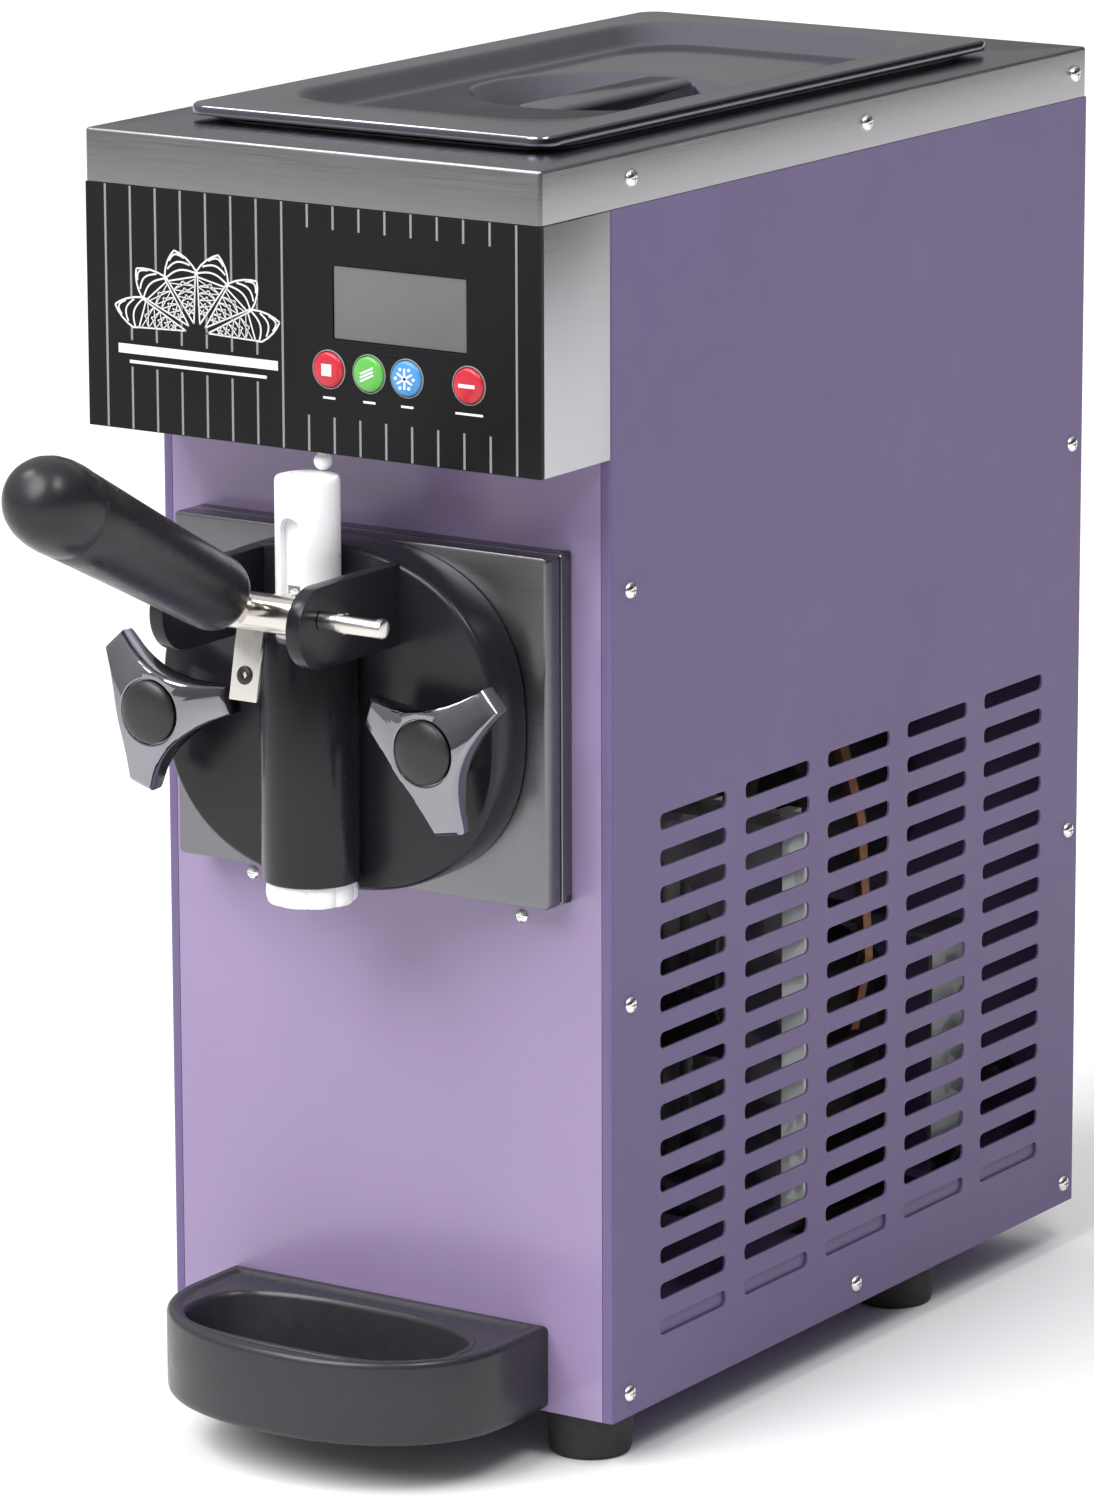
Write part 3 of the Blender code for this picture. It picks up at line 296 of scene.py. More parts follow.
def rounded_edges(obj, width, segments=2, angle=35):
    """The object with its sharp edges rounded by a width in millimetres."""
    modifier = obj.modifiers.new("Edges", "BEVEL")
    modifier.width = width * MM
    modifier.segments = segments
    modifier.limit_method = "ANGLE"
    modifier.angle_limit = radians(angle)
    return applied(obj)


def walled(obj, thickness, even=False):
    """The open surface made into sheet of a thickness in millimetres."""
    modifier = obj.modifiers.new("Wall", "SOLIDIFY")
    modifier.thickness = thickness * MM
    modifier.offset = -1
    modifier.use_even_offset = even
    return applied(obj)


def combine(obj, others, operation="DIFFERENCE"):
    """The object cut by, or joined with, the others, which are used up."""
    for other in others:
        modifier = obj.modifiers.new(operation.title(), "BOOLEAN")
        modifier.operation = operation
        modifier.solver = "EXACT"
        modifier.object = other
    applied(obj)
    for other in others:
        bpy.data.objects.remove(other, do_unlink=True)
    return obj


def skin(bm, loops, start=True, end=True):
    """Faces over rings of equally many points."""
    rings = [[bm.verts.new(place(*point)) for point in loop] for loop in loops]
    count = len(loops[0])
    for ring, after in zip(rings, rings[1:]):
        for i in range(count):
            j = (i + 1) % count
            bm.faces.new((ring[i], ring[j], after[j], after[i]))
    if start:
        bm.faces.new(rings[0])
    if end:
        bm.faces.new(rings[-1])
    return bm


def loose(bm, name="part"):
    """A plain object from a bmesh, for a Boolean or a modifier."""
    bmesh.ops.recalc_face_normals(bm, faces=bm.faces)
    mesh = bpy.data.meshes.new(name)
    bm.to_mesh(mesh)
    bm.free()
    obj = bpy.data.objects.new(name, mesh)
    bpy.context.scene.collection.objects.link(obj)
    return obj


def lathe(bm, profile, base, axis, steps=48, closed=False):
    """A profile of (radius, height) turned about an axis through base."""
    direction = Vector(axis).normalized()
    turn = direction.to_track_quat("Z", "Y")
    origin = place(*base)
    rings = []
    for radius, height in profile:
        if radius < 1e-6:
            rings.append([bm.verts.new(origin + direction * height * MM)])
            continue
        ring = []
        for i in range(steps):
            angle = 2 * pi * i / steps
            local = Vector((radius * cos(angle), radius * sin(angle), height)) * MM
            ring.append(bm.verts.new(origin + turn @ local))
        rings.append(ring)
    pairs = list(zip(rings, rings[1:]))
    if closed:
        pairs.append((rings[-1], rings[0]))
    for ring, after in pairs:
        for i in range(steps):
            j = (i + 1) % steps
            corners = (ring[i % len(ring)], ring[j % len(ring)])
            corners += (after[j % len(after)], after[i % len(after)])
            unique = list(dict.fromkeys(corners))
            if len(unique) > 2:
                bm.faces.new(unique)
    return bm


def bar(start, end, radius, steps=32):
    """A loose round bar between two points."""
    along = Vector(end) - Vector(start)
    profile = [(0, 0), (radius, 0), (radius, along.length), (0, along.length)]
    return loose(lathe(bmesh.new(), profile, start, along, steps))


def cuboid(x, y, z):
    """A loose box, given its two limits along each axis."""
    corners = [[(x[i], y[j], height) for i, j in ((0, 0), (1, 0), (1, 1), (0, 1))] for height in z]
    return loose(skin(bmesh.new(), corners))


def cut_sheet(name, outline, holes, plane, span):
    """A loose flat sheet cut from an outline with holes."""
    curve = bpy.data.curves.new(name, "CURVE")
    curve.dimensions = "2D"
    curve.fill_mode = "BOTH"
    curve.extrude = (span[1] - span[0]) / 2 * MM
    for points in [outline, *holes]:
        spline = curve.splines.new("POLY")
        spline.points.add(len(points) - 1)
        for point, (u, v) in zip(spline.points, points):
            point.co = (u * MM, v * MM, 0.0, 1.0)
        spline.use_cyclic_u = True
    obj = bpy.data.objects.new(name, curve)
    bpy.context.scene.collection.objects.link(obj)
    middle = (span[0] + span[1]) / 2
    origin = {"XY": (0, 0, middle), "XZ": (0, middle, 0), "YZ": (middle, 0, 0)}[plane]
    columns = {
        "XY": ((1, 0, 0), (0, 1, 0), (0, 0, 1)),
        "XZ": ((1, 0, 0), (0, 0, 1), (0, -1, 0)),
        "YZ": ((0, 1, 0), (0, 0, 1), (1, 0, 0)),
    }[plane]
    obj.matrix_world = Matrix.Translation(place(*origin)) @ Matrix(columns).transposed().to_4x4()
    bpy.context.view_layer.update()
    graph = bpy.context.evaluated_depsgraph_get()
    mesh = bpy.data.meshes.new_from_object(obj.evaluated_get(graph))
    mesh.transform(obj.matrix_world)
    bpy.data.objects.remove(obj, do_unlink=True)
    bm = bmesh.new()
    bm.from_mesh(mesh)
    bmesh.ops.remove_doubles(bm, verts=bm.verts, dist=2e-6)
    return loose(bm, name)


def rectangle(x, y):
    """The four corners, anticlockwise, from the limits along two axes."""
    return [(x[0], y[0]), (x[1], y[0]), (x[1], y[1]), (x[0], y[1])]


def circle(x, y, radius, count=48):
    """Points round a circle, the first half a step from the x axis."""
    angles = [2 * pi / count * (i + 0.5) for i in range(count)]
    return [(x + radius * cos(angle), y + radius * sin(angle)) for angle in angles]


def rounded(x, y, radius, per_corner=6):
    """A rectangle with round corners, anticlockwise."""
    points = []
    centres = (
        (x[1] - radius, y[1] - radius),
        (x[0] + radius, y[1] - radius),
        (x[0] + radius, y[0] + radius),
        (x[1] - radius, y[0] + radius),
    )
    for corner, (cx, cy) in enumerate(centres):
        for i in range(per_corner):
            angle = pi / 2 * (corner + i / (per_corner - 1))
            points.append((cx + radius * cos(angle), cy + radius * sin(angle)))
    return points


def level(points, z):
    """Plan points at a height."""
    return [(x, y, z) for x, y in points]


# ---------------------------------------------------------------- panels
def louvre(x, y, length, height):
    """The outline of a slot with round corners."""
    return rounded((x - length / 2, x + length / 2), (y - height / 2, y + height / 2), 2.6, 4)


LOUVRE_LENGTH, LOUVRE_HEIGHT = 55.0, 7.6
LOUVRE_YS = [67.0 + 71.0 * column for column in range(5)]
LOUVRE_ZS = [34.2 + 16.65 * row for row in range(15)]
LOUVRES = [louvre(y, z, LOUVRE_LENGTH, LOUVRE_HEIGHT) for y in LOUVRE_YS for z in LOUVRE_ZS]
# The side panels take the darker copy of the purple paint: painted shade.
for side_name, side in SIDES:
    span = sorted((side * (HALF_WIDTH - SHEET), side * HALF_WIDTH))
    flat = cut_sheet("flat", rectangle((1.6, DEPTH), (0, PANEL_TOP_Z)), LOUVRES, "YZ", span)
    bm = bmesh.new()
    bm.from_mesh(flat.data)
    bpy.data.objects.remove(flat, do_unlink=True)
    corner = [(120.0, 1.6), (119.87, 0.95), (119.5, 0.4), (118.9, 0.08), (118.2, 0.0)]
    corner += [(115.0, 0.0), (115.0, 1.2), (118.8, 1.2), (118.8, 1.6)]
    corner = [(side * x, y) for x, y in corner]
    skin(bm, [level(corner, 0), level(corner, PANEL_TOP_Z)])
    node = f"{side_name}_side_panel"
    piece(f"{side_name}_louvred_panel", bm, SHADED_SIDE_PAINT, replaces=(node,))

vents = [louvre(x, 300 + 18 * row, 70, 8) for x in (-50, 50) for row in range(6)]
vents.append(circle(80, 60, 8.4, 24))
rear_outline = rectangle((-118.4, 118.4), (0.4, PANEL_TOP_Z))
rear = cut_sheet("rear_sheet", rear_outline, vents, "XZ", (DEPTH - SHEET, DEPTH))
# The rear panel takes the darker copy of the purple paint: painted shade.
dressed(rear, SHADED_SIDE_PAINT, replaces=("rear_panel",))

holes = [circle(0, AXIS_Z, 54)] + [circle(x, STUD_Z, 4.4, 24) for _, x in STUDS]
holes += [circle(side * 50, 20, 3.3, 24) for side in (-1, 1)]
front = cut_sheet("front_sheet", rectangle((-114.7, 114.7), (0, HEAD_Z)), holes, "XZ", (0.0, SHEET))
dressed(front, MATERIALS["purple_paint"], replaces=("front_panel",))


# ---------------------------------------------------------------- top cover, head and lid
def band_loop(inset, z):
    """The top band's outline, drawn in by the inset."""
    edges = ((-HALF_WIDTH + inset, HALF_WIDTH - inset), (HEAD_Y + inset, DEPTH - inset))
    return level(rounded(*edges, max(2.2 - inset, 0.4), 6), z)


opening_edge = rounded((-83.6, 83.6), (20.4, 346.6), 21, 6)
cover = loose(
    skin(
        bmesh.new(),
        [
            band_loop(0, BAND_Z),
            band_loop(0, TOP_Z - 1.6),
            band_loop(0.25, TOP_Z - 0.75),
            band_loop(0.8, TOP_Z - 0.2),
            band_loop(1.6, TOP_Z),
            level(opening_edge, TOP_Z),
        ],
        start=False,
        end=False,
    )
)
dressed(walled(cover, SHEET, even=True), STEEL_BAND, replaces=("top_cover",), smooth=30)
cover.name = "top_band"
cover.data.materials.append(STEEL_TOP_PAINTED_SHADE)
cover.data.materials.append(STEEL_BAND_SIDE_PAINTED_LIGHT)
# Upward faces take the darker copy of the steel (painted shade) and sideways faces the lighter copy
# (painted light).
for face in cover.data.polygons:
    if abs(face.normal.z) > 0.9:
        face.material_index = 1
    elif abs(face.normal.x) > 0.9:
        face.material_index = 2

inner_x = HALF_WIDTH - SHEET
channel = [(-HALF_WIDTH, HEAD_Z), (HALF_WIDTH, HEAD_Z), (HALF_WIDTH, HEAD_TOP_Z), (inner_x, HEAD_TOP_Z)]
channel += [(inner_x, HEAD_Z + SHEET), (-inner_x, HEAD_Z + SHEET)]
channel += [(-inner_x, HEAD_TOP_Z), (-HALF_WIDTH, HEAD_TOP_Z)]
head = cut_sheet("head_channel", channel, [], "XZ", (-51.5, -0.3))
plunger_hole = bar((0, PLUNGER_Y, HEAD_Z - 5), (0, PLUNGER_Y, HEAD_Z + 5), 4.5)
# The head sheet takes the lighter copy of the steel: painted light.
dressed(rounded_edges(combine(head, [plunger_hole]), 0.35), STEEL_HEAD_PAINTED_LIGHT, replaces=("head_shell",))

LID_X, LID_Y, LID_TOP = (-96.5, 96.5), (-13.0, 366.0), 576.3
WELL_X, WELL_Y = (-79, 79), (25, 342)
FINGER_BAR_X, FINGER_BAR_Y = (-13, 13), (121, 239)


def shrunk_loop(x, y, inset, z, radius, per_corner=12):
    """A level rounded rectangle, drawn in from its limits by the inset."""
    limits = ((x[0] + inset, x[1] - inset), (y[0] + inset, y[1] - inset))
    return level(rounded(*limits, radius, per_corner), z)


def lid_loop(inset, z, radius):
    return shrunk_loop(LID_X, LID_Y, inset, z, radius)


def well_loop(inset, z, radius):
    return shrunk_loop(WELL_X, WELL_Y, inset, z, radius)


lid_loops = [
    lid_loop(0.0, 571.5, 11),
    lid_loop(0.0, LID_TOP - 1.8, 11),
    lid_loop(0.4, LID_TOP - 0.8, 10.6),
    lid_loop(1.2, LID_TOP - 0.15, 9.8),
    lid_loop(2.6, LID_TOP, 9),
    well_loop(-1.5, LID_TOP, 37),
    well_loop(0.0, LID_TOP - 0.3, 36),
    well_loop(1.0, LID_TOP - 1.0, 35.5),
    well_loop(2.2, LID_TOP - 2.2, 35),
    well_loop(6.6, LID_TOP - 7.9, 32),
    well_loop(7.8, LID_TOP - 9.1, 31.5),
    well_loop(9.2, LID_TOP - 9.9, 31),
    well_loop(10.6, LID_TOP - 10.1, 30),
]
lid_bowl = ((64, 10.1), (62.5, 10.3), (61, 11.2), (54.5, 21.6), (52.5, 23.4), (50, 24.1), (30, 24.4))
for radius, depth in lid_bowl:
    lid_loops.append(level(circle(0, 180, radius), LID_TOP - depth))
lid = loose(skin(bmesh.new(), lid_loops, start=False))
walled(lid, 1.1)
finger_bar = [(-2.4, 551.7), (-2.0, 554.0), (-0.8, 558.0), (0.0, 562.4), (0.6, 564.2), (1.9, 565.5)]
finger_bar.append((3.6, 566.0))
bar_loops = [shrunk_loop(FINGER_BAR_X, FINGER_BAR_Y, inset, z, 6.5, 6) for inset, z in finger_bar]
grip = loose(skin(bmesh.new(), bar_loops))
dressed(combine(lid, [grip], "UNION"), STEEL_LID, "hopper_lid", ("hopper_lid",), smooth=30)
lid.name = "lid_pressing"

seal_outside = rounded((-93.5, 93.5), (-10, 363), 18)
seal_inside = rounded((-84, 84), (8, 349), 20)
gasket = cut_sheet("lid_seal", seal_outside, [seal_inside], "XY", (570.4, 574.8))
dressed(rounded_edges(gasket, 0.8), MATERIALS["rubber"], "hopper_lid", ("lid_gasket",))

# ---------------------------------------------------------------- control fascia
BUTTON_Z = 473.6
BUTTONS = (("button_stop", 10.1), ("button_clean", 31.2), ("button_cold", 51.0), ("button_set", 83.1))
STOP_X, CLEAN_X, COLD_X, SET_X = (x for _, x in BUTTONS)
holes = [rounded((12.3, 81.9), (487.0, 519.5), 1.2, 3)] + [circle(x, BUTTON_Z, 8.3) for _, x in BUTTONS]
fascia_outline = rectangle((-119.9, 119.9), (HEAD_Z, HEAD_TOP_Z))
fascia = cut_sheet("fascia_sheet", fascia_outline, holes, "XZ", (HEAD_Y, -51.8))
dressed(rounded_edges(fascia, 0.25, 1), MATERIALS["black_fascia"], replaces=("control_panel",))

display = cuboid((12.6, 81.6), (-53.5, -50.8), (487.3, 519.2))
dressed(rounded_edges(display, 0.4), MATERIALS["display_grey"], replaces=("display_window",))


def printed(name, shapes, material, lift=0.06):
    """Flat printed shapes that stand a hair off the fascia."""
    bm = bmesh.new()
    for shape in shapes:
        near = [bm.verts.new(place(x, HEAD_Y - lift, z)) for x, z in shape]
        far = [bm.verts.new(place(x, HEAD_Y + 0.02, z)) for x, z in shape]
        bm.faces.new(near)
        bm.faces.new(list(reversed(far)))
        for i in range(len(shape)):
            j = (i + 1) % len(shape)
            bm.faces.new((near[i], near[j], far[j], far[i]))
    piece(name, bm, material, smooth=0)


def stroke(a, b, width):
    """A straight printed line from a to b."""
    dx, dz = b[0] - a[0], b[1] - a[1]
    length = hypot(dx, dz)
    nx, nz = -dz / length * width / 2, dx / length * width / 2
    near_side = [(a[0] + nx, a[1] + nz), (a[0] - nx, a[1] - nz)]
    return near_side + [(b[0] - nx, b[1] - nz), (b[0] + nx, b[1] + nz)]


STRIPE_FOOT, STRIPE_TOP = HEAD_Z + 0.4, HEAD_TOP_Z - 0.2
LAST_FULL_LEFT, LAST_STRIPE = 7, 16
stripes = []
for i in range(LAST_STRIPE + 1):
    middle = -109.2 + 13.55 * i
    width = (middle - 0.55, middle + 0.55)
    if i <= LAST_FULL_LEFT or i == LAST_STRIPE:
        stripes.append(rectangle(width, (STRIPE_FOOT, STRIPE_TOP)))
    else:
        # Broken to leave room for the display and the buttons
        stripes.append(rectangle(width, (534.6, STRIPE_TOP)))
        stripes.append(rectangle(width, (STRIPE_FOOT, 452.7)))
printed("fascia_stripes", stripes, SILVER_INK)

# A plain fan of cones: a generic mark, with no lettering
ground, ink = [], []
for i in range(6):
    angle = radians(165 - 30 * i)
    along, across = (cos(angle), sin(angle)), (-sin(angle), cos(angle))

    def at(distance, offset):
        """A point out from the fan's centre and off the cone's middle line."""
        return (
            -60.2 + 1.22 * (along[0] * distance + across[0] * offset),
            482.0 + along[1] * distance + across[1] * offset,
        )

    ground.append([at(3.5, 0), at(25, -6.9), at(31, -6.6), at(37.2, 0), at(31, 6.6), at(25, 6.9)])
    for a, b in (((5, 0), (25, -6.2)), ((5, 0), (25, 6.2)), ((25, -6.2), (25, 6.2))):
        ink.append(stroke(at(*a), at(*b), 0.7))
    for step in (9, 12, 15, 18, 21):
        half = (step - 5) * 0.31
        wider = half + 0.93
        ink.append(stroke(at(step, -half), at(step + 3, wider), 0.42))
        ink.append(stroke(at(step, half), at(step + 3, -wider), 0.42))
        ink.append(stroke(at(step, -half), at(step + 3, wider * 0.1), 0.36))
        ink.append(stroke(at(step, half), at(step + 3, -wider * 0.1), 0.36))
    for distance, half in ((26.6, 6.6), (30.2, 5.2), (33.6, 3.4)):
        bow = [at(distance + 2.3 * cos(pi * k / 8), half * k / 4) for k in range(-4, 5)]
        for a, b in zip(bow, bow[1:]):
            ink.append(stroke(a, b, 0.8))
    for side in (-1, 1):
        edge = [(25, 6.2), (27.5, 7.1), (30.5, 6.0), (33.5, 4.2), (36.0, 2.0), (37.6, 0)]
        for (d0, w0), (d1, w1) in zip(edge, edge[1:]):
            ink.append(stroke(at(d0, side * w0), at(d1, side * w1), 0.8))
printed("mark_ground", ground, MATERIALS["black_fascia"], 0.09)
printed("mark_cones", ink, WHITE_INK, 0.13)
DASH_Z = (460.6, 461.6)
bars = [rectangle((-103, -17), (470.4, 474.6)), rectangle((-97, -23), (466.2, 467.6))]
bars += [rectangle((x - 3.2, x + 3.2), DASH_Z) for x in (STOP_X, CLEAN_X, COLD_X)]
bars.append(rectangle((76, 90.2), DASH_Z))
printed("mark_bar_ground", [rectangle((-105, -15), (464.6, 476.4))], MATERIALS["black_fascia"], 0.09)
printed("mark_bars", bars, WHITE_INK, 0.13)

dome_profile = [(0, 5.5), (4, 5.42), (6.4, 5.1), (7.3, 4.7), (7.75, 4.0), (7.8, 3.2), (7.8, 0), (0, 0)]
collar_ring = [(8.15, 3.6), (8.15, 3.75), (8.5, 3.75), (8.65, 3.6), (8.65, 3.42), (8.15, 3.42)]
for name, x in BUTTONS:
    base = (x, -50.6, BUTTON_Z)
    dome = lathe(bmesh.new(), dome_profile, base, (0, -1, 0))
    piece(f"{name}_dome", dome, MATERIALS[SLOT_OF[name]], name, (name,))
    ring = lathe(bmesh.new(), collar_ring, base, (0, -1, 0), closed=True)
    piece(f"{name}_collar", ring, SILVER_INK)


def button_mark(name, button, shapes):
    """Raised marks on a button's face."""
    bm = bmesh.new()
    for shape in shapes:
        skin(bm, [[(x, -55.0, z) for x, z in shape], [(x, -56.18, z) for x, z in shape]])
    piece(name, bm, WHITE_INK, button, smooth=0)


def turned_shape(points, angle, centre):
    """The points turned about the origin, then moved to the centre."""
    c, s = cos(angle), sin(angle)
    return [(centre[0] + x * c - z * s, centre[1] + x * s + z * c) for x, z in points]


def centred(x, half_width, half_height):
    """A rectangle in the middle of a button."""
    return rectangle((x - half_width, x + half_width), (BUTTON_Z - half_height, BUTTON_Z + half_height))


button_mark("stop_mark", "button_stop", [centred(STOP_X, 2.6, 2.6)])
wave = rectangle((-3.8, 3.8), (-0.45, 0.45))
waves = [turned_shape(wave, radians(25), (CLEAN_X, BUTTON_Z + 1.6 * k)) for k in (-1, 0, 1)]
button_mark("clean_mark", "button_clean", waves)
arm = rectangle((-4.6, 4.6), (-0.5, 0.5))
flake = [turned_shape(arm, radians(60 * k + 30), (COLD_X, BUTTON_Z)) for k in range(3)]
for angle in (radians(60 * k) for k in range(6)):
    flake.append(circle(COLD_X + 4.6 * cos(angle), BUTTON_Z + 4.6 * sin(angle), 0.8, 10))
button_mark("cold_mark", "button_cold", flake)
button_mark("set_mark", "button_set", [centred(SET_X, 4.2, 0.8)])

# ---------------------------------------------------------------- face plate and door
PLATE_HALF_WIDTH, PLATE_BASE, PLATE_TOP = 99.5, 237.0, 394.0


def plate_loop(inset, y):
    """The face plate's outline, drawn in by the inset."""
    reach = PLATE_HALF_WIDTH - inset
    ring = rounded((-reach, reach), (PLATE_BASE + inset, PLATE_TOP - inset), 2.0, 4)
    return [(x, y, z) for x, z in ring]


plate = loose(
    skin(
        bmesh.new(),
        [
            plate_loop(0, -0.3),
            plate_loop(0, -7.4),
            plate_loop(0.3, -7.9),
            plate_loop(1.4, -8.3),
            plate_loop(1.4, -8.9),
            plate_loop(0.3, -9.3),
            plate_loop(0, -9.8),
            plate_loop(0, PLATE_Y + 1.1),
            plate_loop(0.25, PLATE_Y + 0.4),
            plate_loop(0.9, PLATE_Y),
        ],
        start=False,
    )
)
walled(plate, SHEET)
cuts = [bar((0, -40, AXIS_Z), (0, 0, AXIS_Z), 52, 64)]
cuts += [bar((x, -40, STUD_Z), (x, 0, STUD_Z), 4.5) for _, x in STUDS]
dressed(combine(plate, cuts), STEEL_PLATE, replaces=("face_plate",), smooth=30)
plate.name = "plate_pressing"

for corner_name, z in (("top", PLATE_TOP - 1.8), ("bottom", PLATE_BASE + 1.8)):
    tab = cuboid((96.0, 99.8), (-4.5, -0.6), (z - 1.6, z + 2.2))
    dressed(rounded_edges(tab, 0.8), MATERIALS["rubber"])
    tab.name = f"plate_corner_pad_{corner_name}"


def superellipse_reach(angle, power):
    """The radius of a unit superellipse at an angle."""
    return (abs(cos(angle)) ** power + abs(sin(angle)) ** power) ** (-1 / power)


def door_loop(inset, y):
    """The door's outline, a squared oval, drawn in by the inset."""
    wide, tall = DOOR_HALF_WIDTH - inset, DOOR_HALF_HEIGHT - inset
    loop = []
    for angle in (2 * pi * i / 120 for i in range(120)):
        reach = superellipse_reach(angle, DOOR_SQUARENESS)
        loop.append((wide * reach * cos(angle), y, DOOR_Z + tall * reach * sin(angle)))
    return loop


def pivot_hole(reach):
    """A bar the size of the pin's bore, across the middle."""
    return bar((-reach, *PIVOT[1:]), (reach, *PIVOT[1:]), PIN_BORE, 24)


door_profile = [(0.8, DOOR_BACK_Y), (0.2, -20.9), (0.0, -21.5), (-0.2, -32.0), (0.0, -41.6)]
door_profile += [(0.3, -43.0), (0.9, -44.1), (1.8, -44.8), (3.0, DOOR_FRONT_Y)]
door = loose(skin(bmesh.new(), [door_loop(inset, y) for inset, y in door_profile]))
tube_profile = [(0, 0), (20.6, 0), (21.6, 0.5), (TUBE_RADIUS, 1.6), (TUBE_RADIUS, 108.1)]
tube_profile += [(21.4, 109.3), (20, 109.7), (0, 109.7)]
joined = [loose(lathe(bmesh.new(), tube_profile, (0, VALVE_Y, NOZZLE_TOP_Z), (0, 0, 1), 64))]
nose = [(-102 + 18 * cos(radians(a)), 371.5 + 18 * sin(radians(a))) for a in range(90, 271, 10)]
ear_outline = nose + [(-39, 353.5), (-39, 389.5)]
for _, side in SIDES:
    ear = cut_sheet("ear", ear_outline, [], "YZ", sorted((side * 32.5, side * 39.5)))
    joined.append(rounded_edges(ear, 2.0, 3, 50))
combine(door, joined, "UNION")
cuts = [
    bar((0, -33, AXIS_Z), (0, -10, AXIS_Z), 68.2, 64),
    bar((0, VALVE_Y, 240), (0, VALVE_Y, 420), 14.75, 64),
    pivot_hole(50),
    bar((0, VALVE_Y, 225), (0, VALVE_Y, NOZZLE_TOP_Z), 21.0, 64),
    bar((0, -58, 262), (0, -28, 272), 10, 24),
]
cuts += [bar((x, -65, STUD_Z), (x, -10, STUD_Z), 4.6, 24) for _, x in STUDS]
dressed(combine(door, cuts), DOOR_BLACK, replaces=("dispensing_door",), smooth=28)
door.name = "door_moulding"

# ---------------------------------------------------------------- star knobs
TIP_R, WAIST_R, HOLLOW_R = 38.5, 18.5, 80.0
# Degrees from an arm's middle to the end of its flat tip, and across the flank to the next arm
TIP_ANGLE = 8.86
FLANK_ANGLE = 120 - 2 * TIP_ANGLE
# The angles of the points of one arm and its flank
SPREAD = [-TIP_ANGLE + 2 * TIP_ANGLE * k / 4 for k in range(5)]
SPREAD += [TIP_ANGLE + FLANK_ANGLE * k / 17 for k in range(1, 17)]


def knob_radius(from_arm):
    """Flat tips joined by hollow flanks, at an angle from an arm."""
    if abs(from_arm) < TIP_ANGLE + 0.01:
        return TIP_R / cos(radians(from_arm))
    from_waist = radians(60 - abs(from_arm))
    reach = WAIST_R + HOLLOW_R
    return reach * cos(from_waist) - (HOLLOW_R**2 - (reach * sin(from_waist)) ** 2) ** 0.5


def knob_loop(x, turn, scale, y_at):
    """The star's outline at a scale, with its y read from the radius."""
    loop = []
    for arm in range(3):
        for spread in SPREAD:
            radius = scale * knob_radius((spread + 60) % 120 - 60)
            angle = radians(turn + 120 * arm + spread)
            loop.append((x + radius * cos(angle), y_at(radius), STUD_Z + radius * sin(angle)))
    return loop


def face_y(radius):
    """The y of the knob's front, which sweeps back towards the tips."""
    return -77.0 + 0.41 * max(radius - 17.5, 0)


cap_profile = [(0, 3.3), (5, 3.15), (9.5, 2.6), (12.4, 1.7), (13.8, 0.8), (14.3, 0.0)]
cap_profile += [(14.3, -0.4), (0, -0.4)]
for (side_name, x), turn in zip(STUDS, (12.0, 40.0)):
    loops = [
        knob_loop(x, turn, 0.34, lambda r: -45.5),
        knob_loop(x, turn, 0.36, lambda r: -46.0),
        knob_loop(x, turn, 0.38, lambda r: -55.0),
        knob_loop(x, turn, 0.44, lambda r: -58.6),
        knob_loop(x, turn, 0.82, lambda r: -61.5),
        knob_loop(x, turn, 0.955, lambda r: face_y(r) + 13.0 - 0.16 * max(r - 17, 0)),
        knob_loop(x, turn, 0.99, lambda r: face_y(r) + 11.8 - 0.16 * max(r - 17, 0)),
        knob_loop(x, turn, 1.0, lambda r: face_y(r) + 2.2),
        knob_loop(x, turn, 0.985, lambda r: face_y(r) + 0.8),
        knob_loop(x, turn, 0.95, lambda r: face_y(r) + 0.1),
        knob_loop(x, turn, 0.90, lambda r: face_y(r)),
    ]
    around = [radians(turn + 120 * arm + spread) for arm in range(3) for spread in SPREAD]
    for radius, y in ((15.6, -77.0), (15.0, -76.8), (14.7, -76.2)):
        loops.append([(x + radius * cos(angle), y, STUD_Z + radius * sin(angle)) for angle in around])
    knob = loose(skin(bmesh.new(), loops))
    combine(knob, [bar((x, -71.5, STUD_Z), (x, -40, STUD_Z), 4.4, 24)])
    body = f"star_knob_{side_name}"
    dressed(knob, MATERIALS["chrome"], body, (body,), smooth=32)
    knob.name = f"{side_name}_knob_casting"
    cap = lathe(bmesh.new(), cap_profile, (x, -77.3, STUD_Z), (0, -1, 0), 64)
    piece(f"{side_name}_knob_button", cap, KNOB_BLACK, body, (f"knob_cap_{side_name}",))

# ---------------------------------------------------------------- draw valve and lever
valve_profile = [(0, 426.5), (12.6, 426.5), (13.7, 426.2), (14.25, 425.4), (14.4, 424.2), (14.4, 264)]
valve_profile += [(14.0, 262.6), (13.0, 262), (0, 262)]
valve = loose(lathe(bmesh.new(), valve_profile, (0, VALVE_Y, 0), (0, 0, 1), 64))
slot_cut = cut_sheet("slot", rounded((-5.2, 5.2), (366, 410), 5.1, 8), [], "XZ", (-80, -66.6))
pocket_cut = cuboid((-4, 4), (-80, -62.6), (370.8, 379.2))
combine(valve, [slot_cut, pocket_cut])
dressed(valve, MATERIALS["white_plastic"], "draw_valve", ("draw_valve",))
valve.name = "valve_moulding"

ball = [(4.1 * sin(radians(t)), 430.9 + 4.1 * cos(radians(t))) for t in range(35, 180, 12)]
plunger_profile = [(0, 452), (2.2, 452), (2.2, 434.8), *ball, (0, 426.8)]
plunger = lathe(bmesh.new(), plunger_profile, (0, PLUNGER_Y, 0), (0, 0, 1), 32)
piece("plunger_ball", plunger, MATERIALS["white_plastic"], "switch_plunger", ("switch_plunger",))

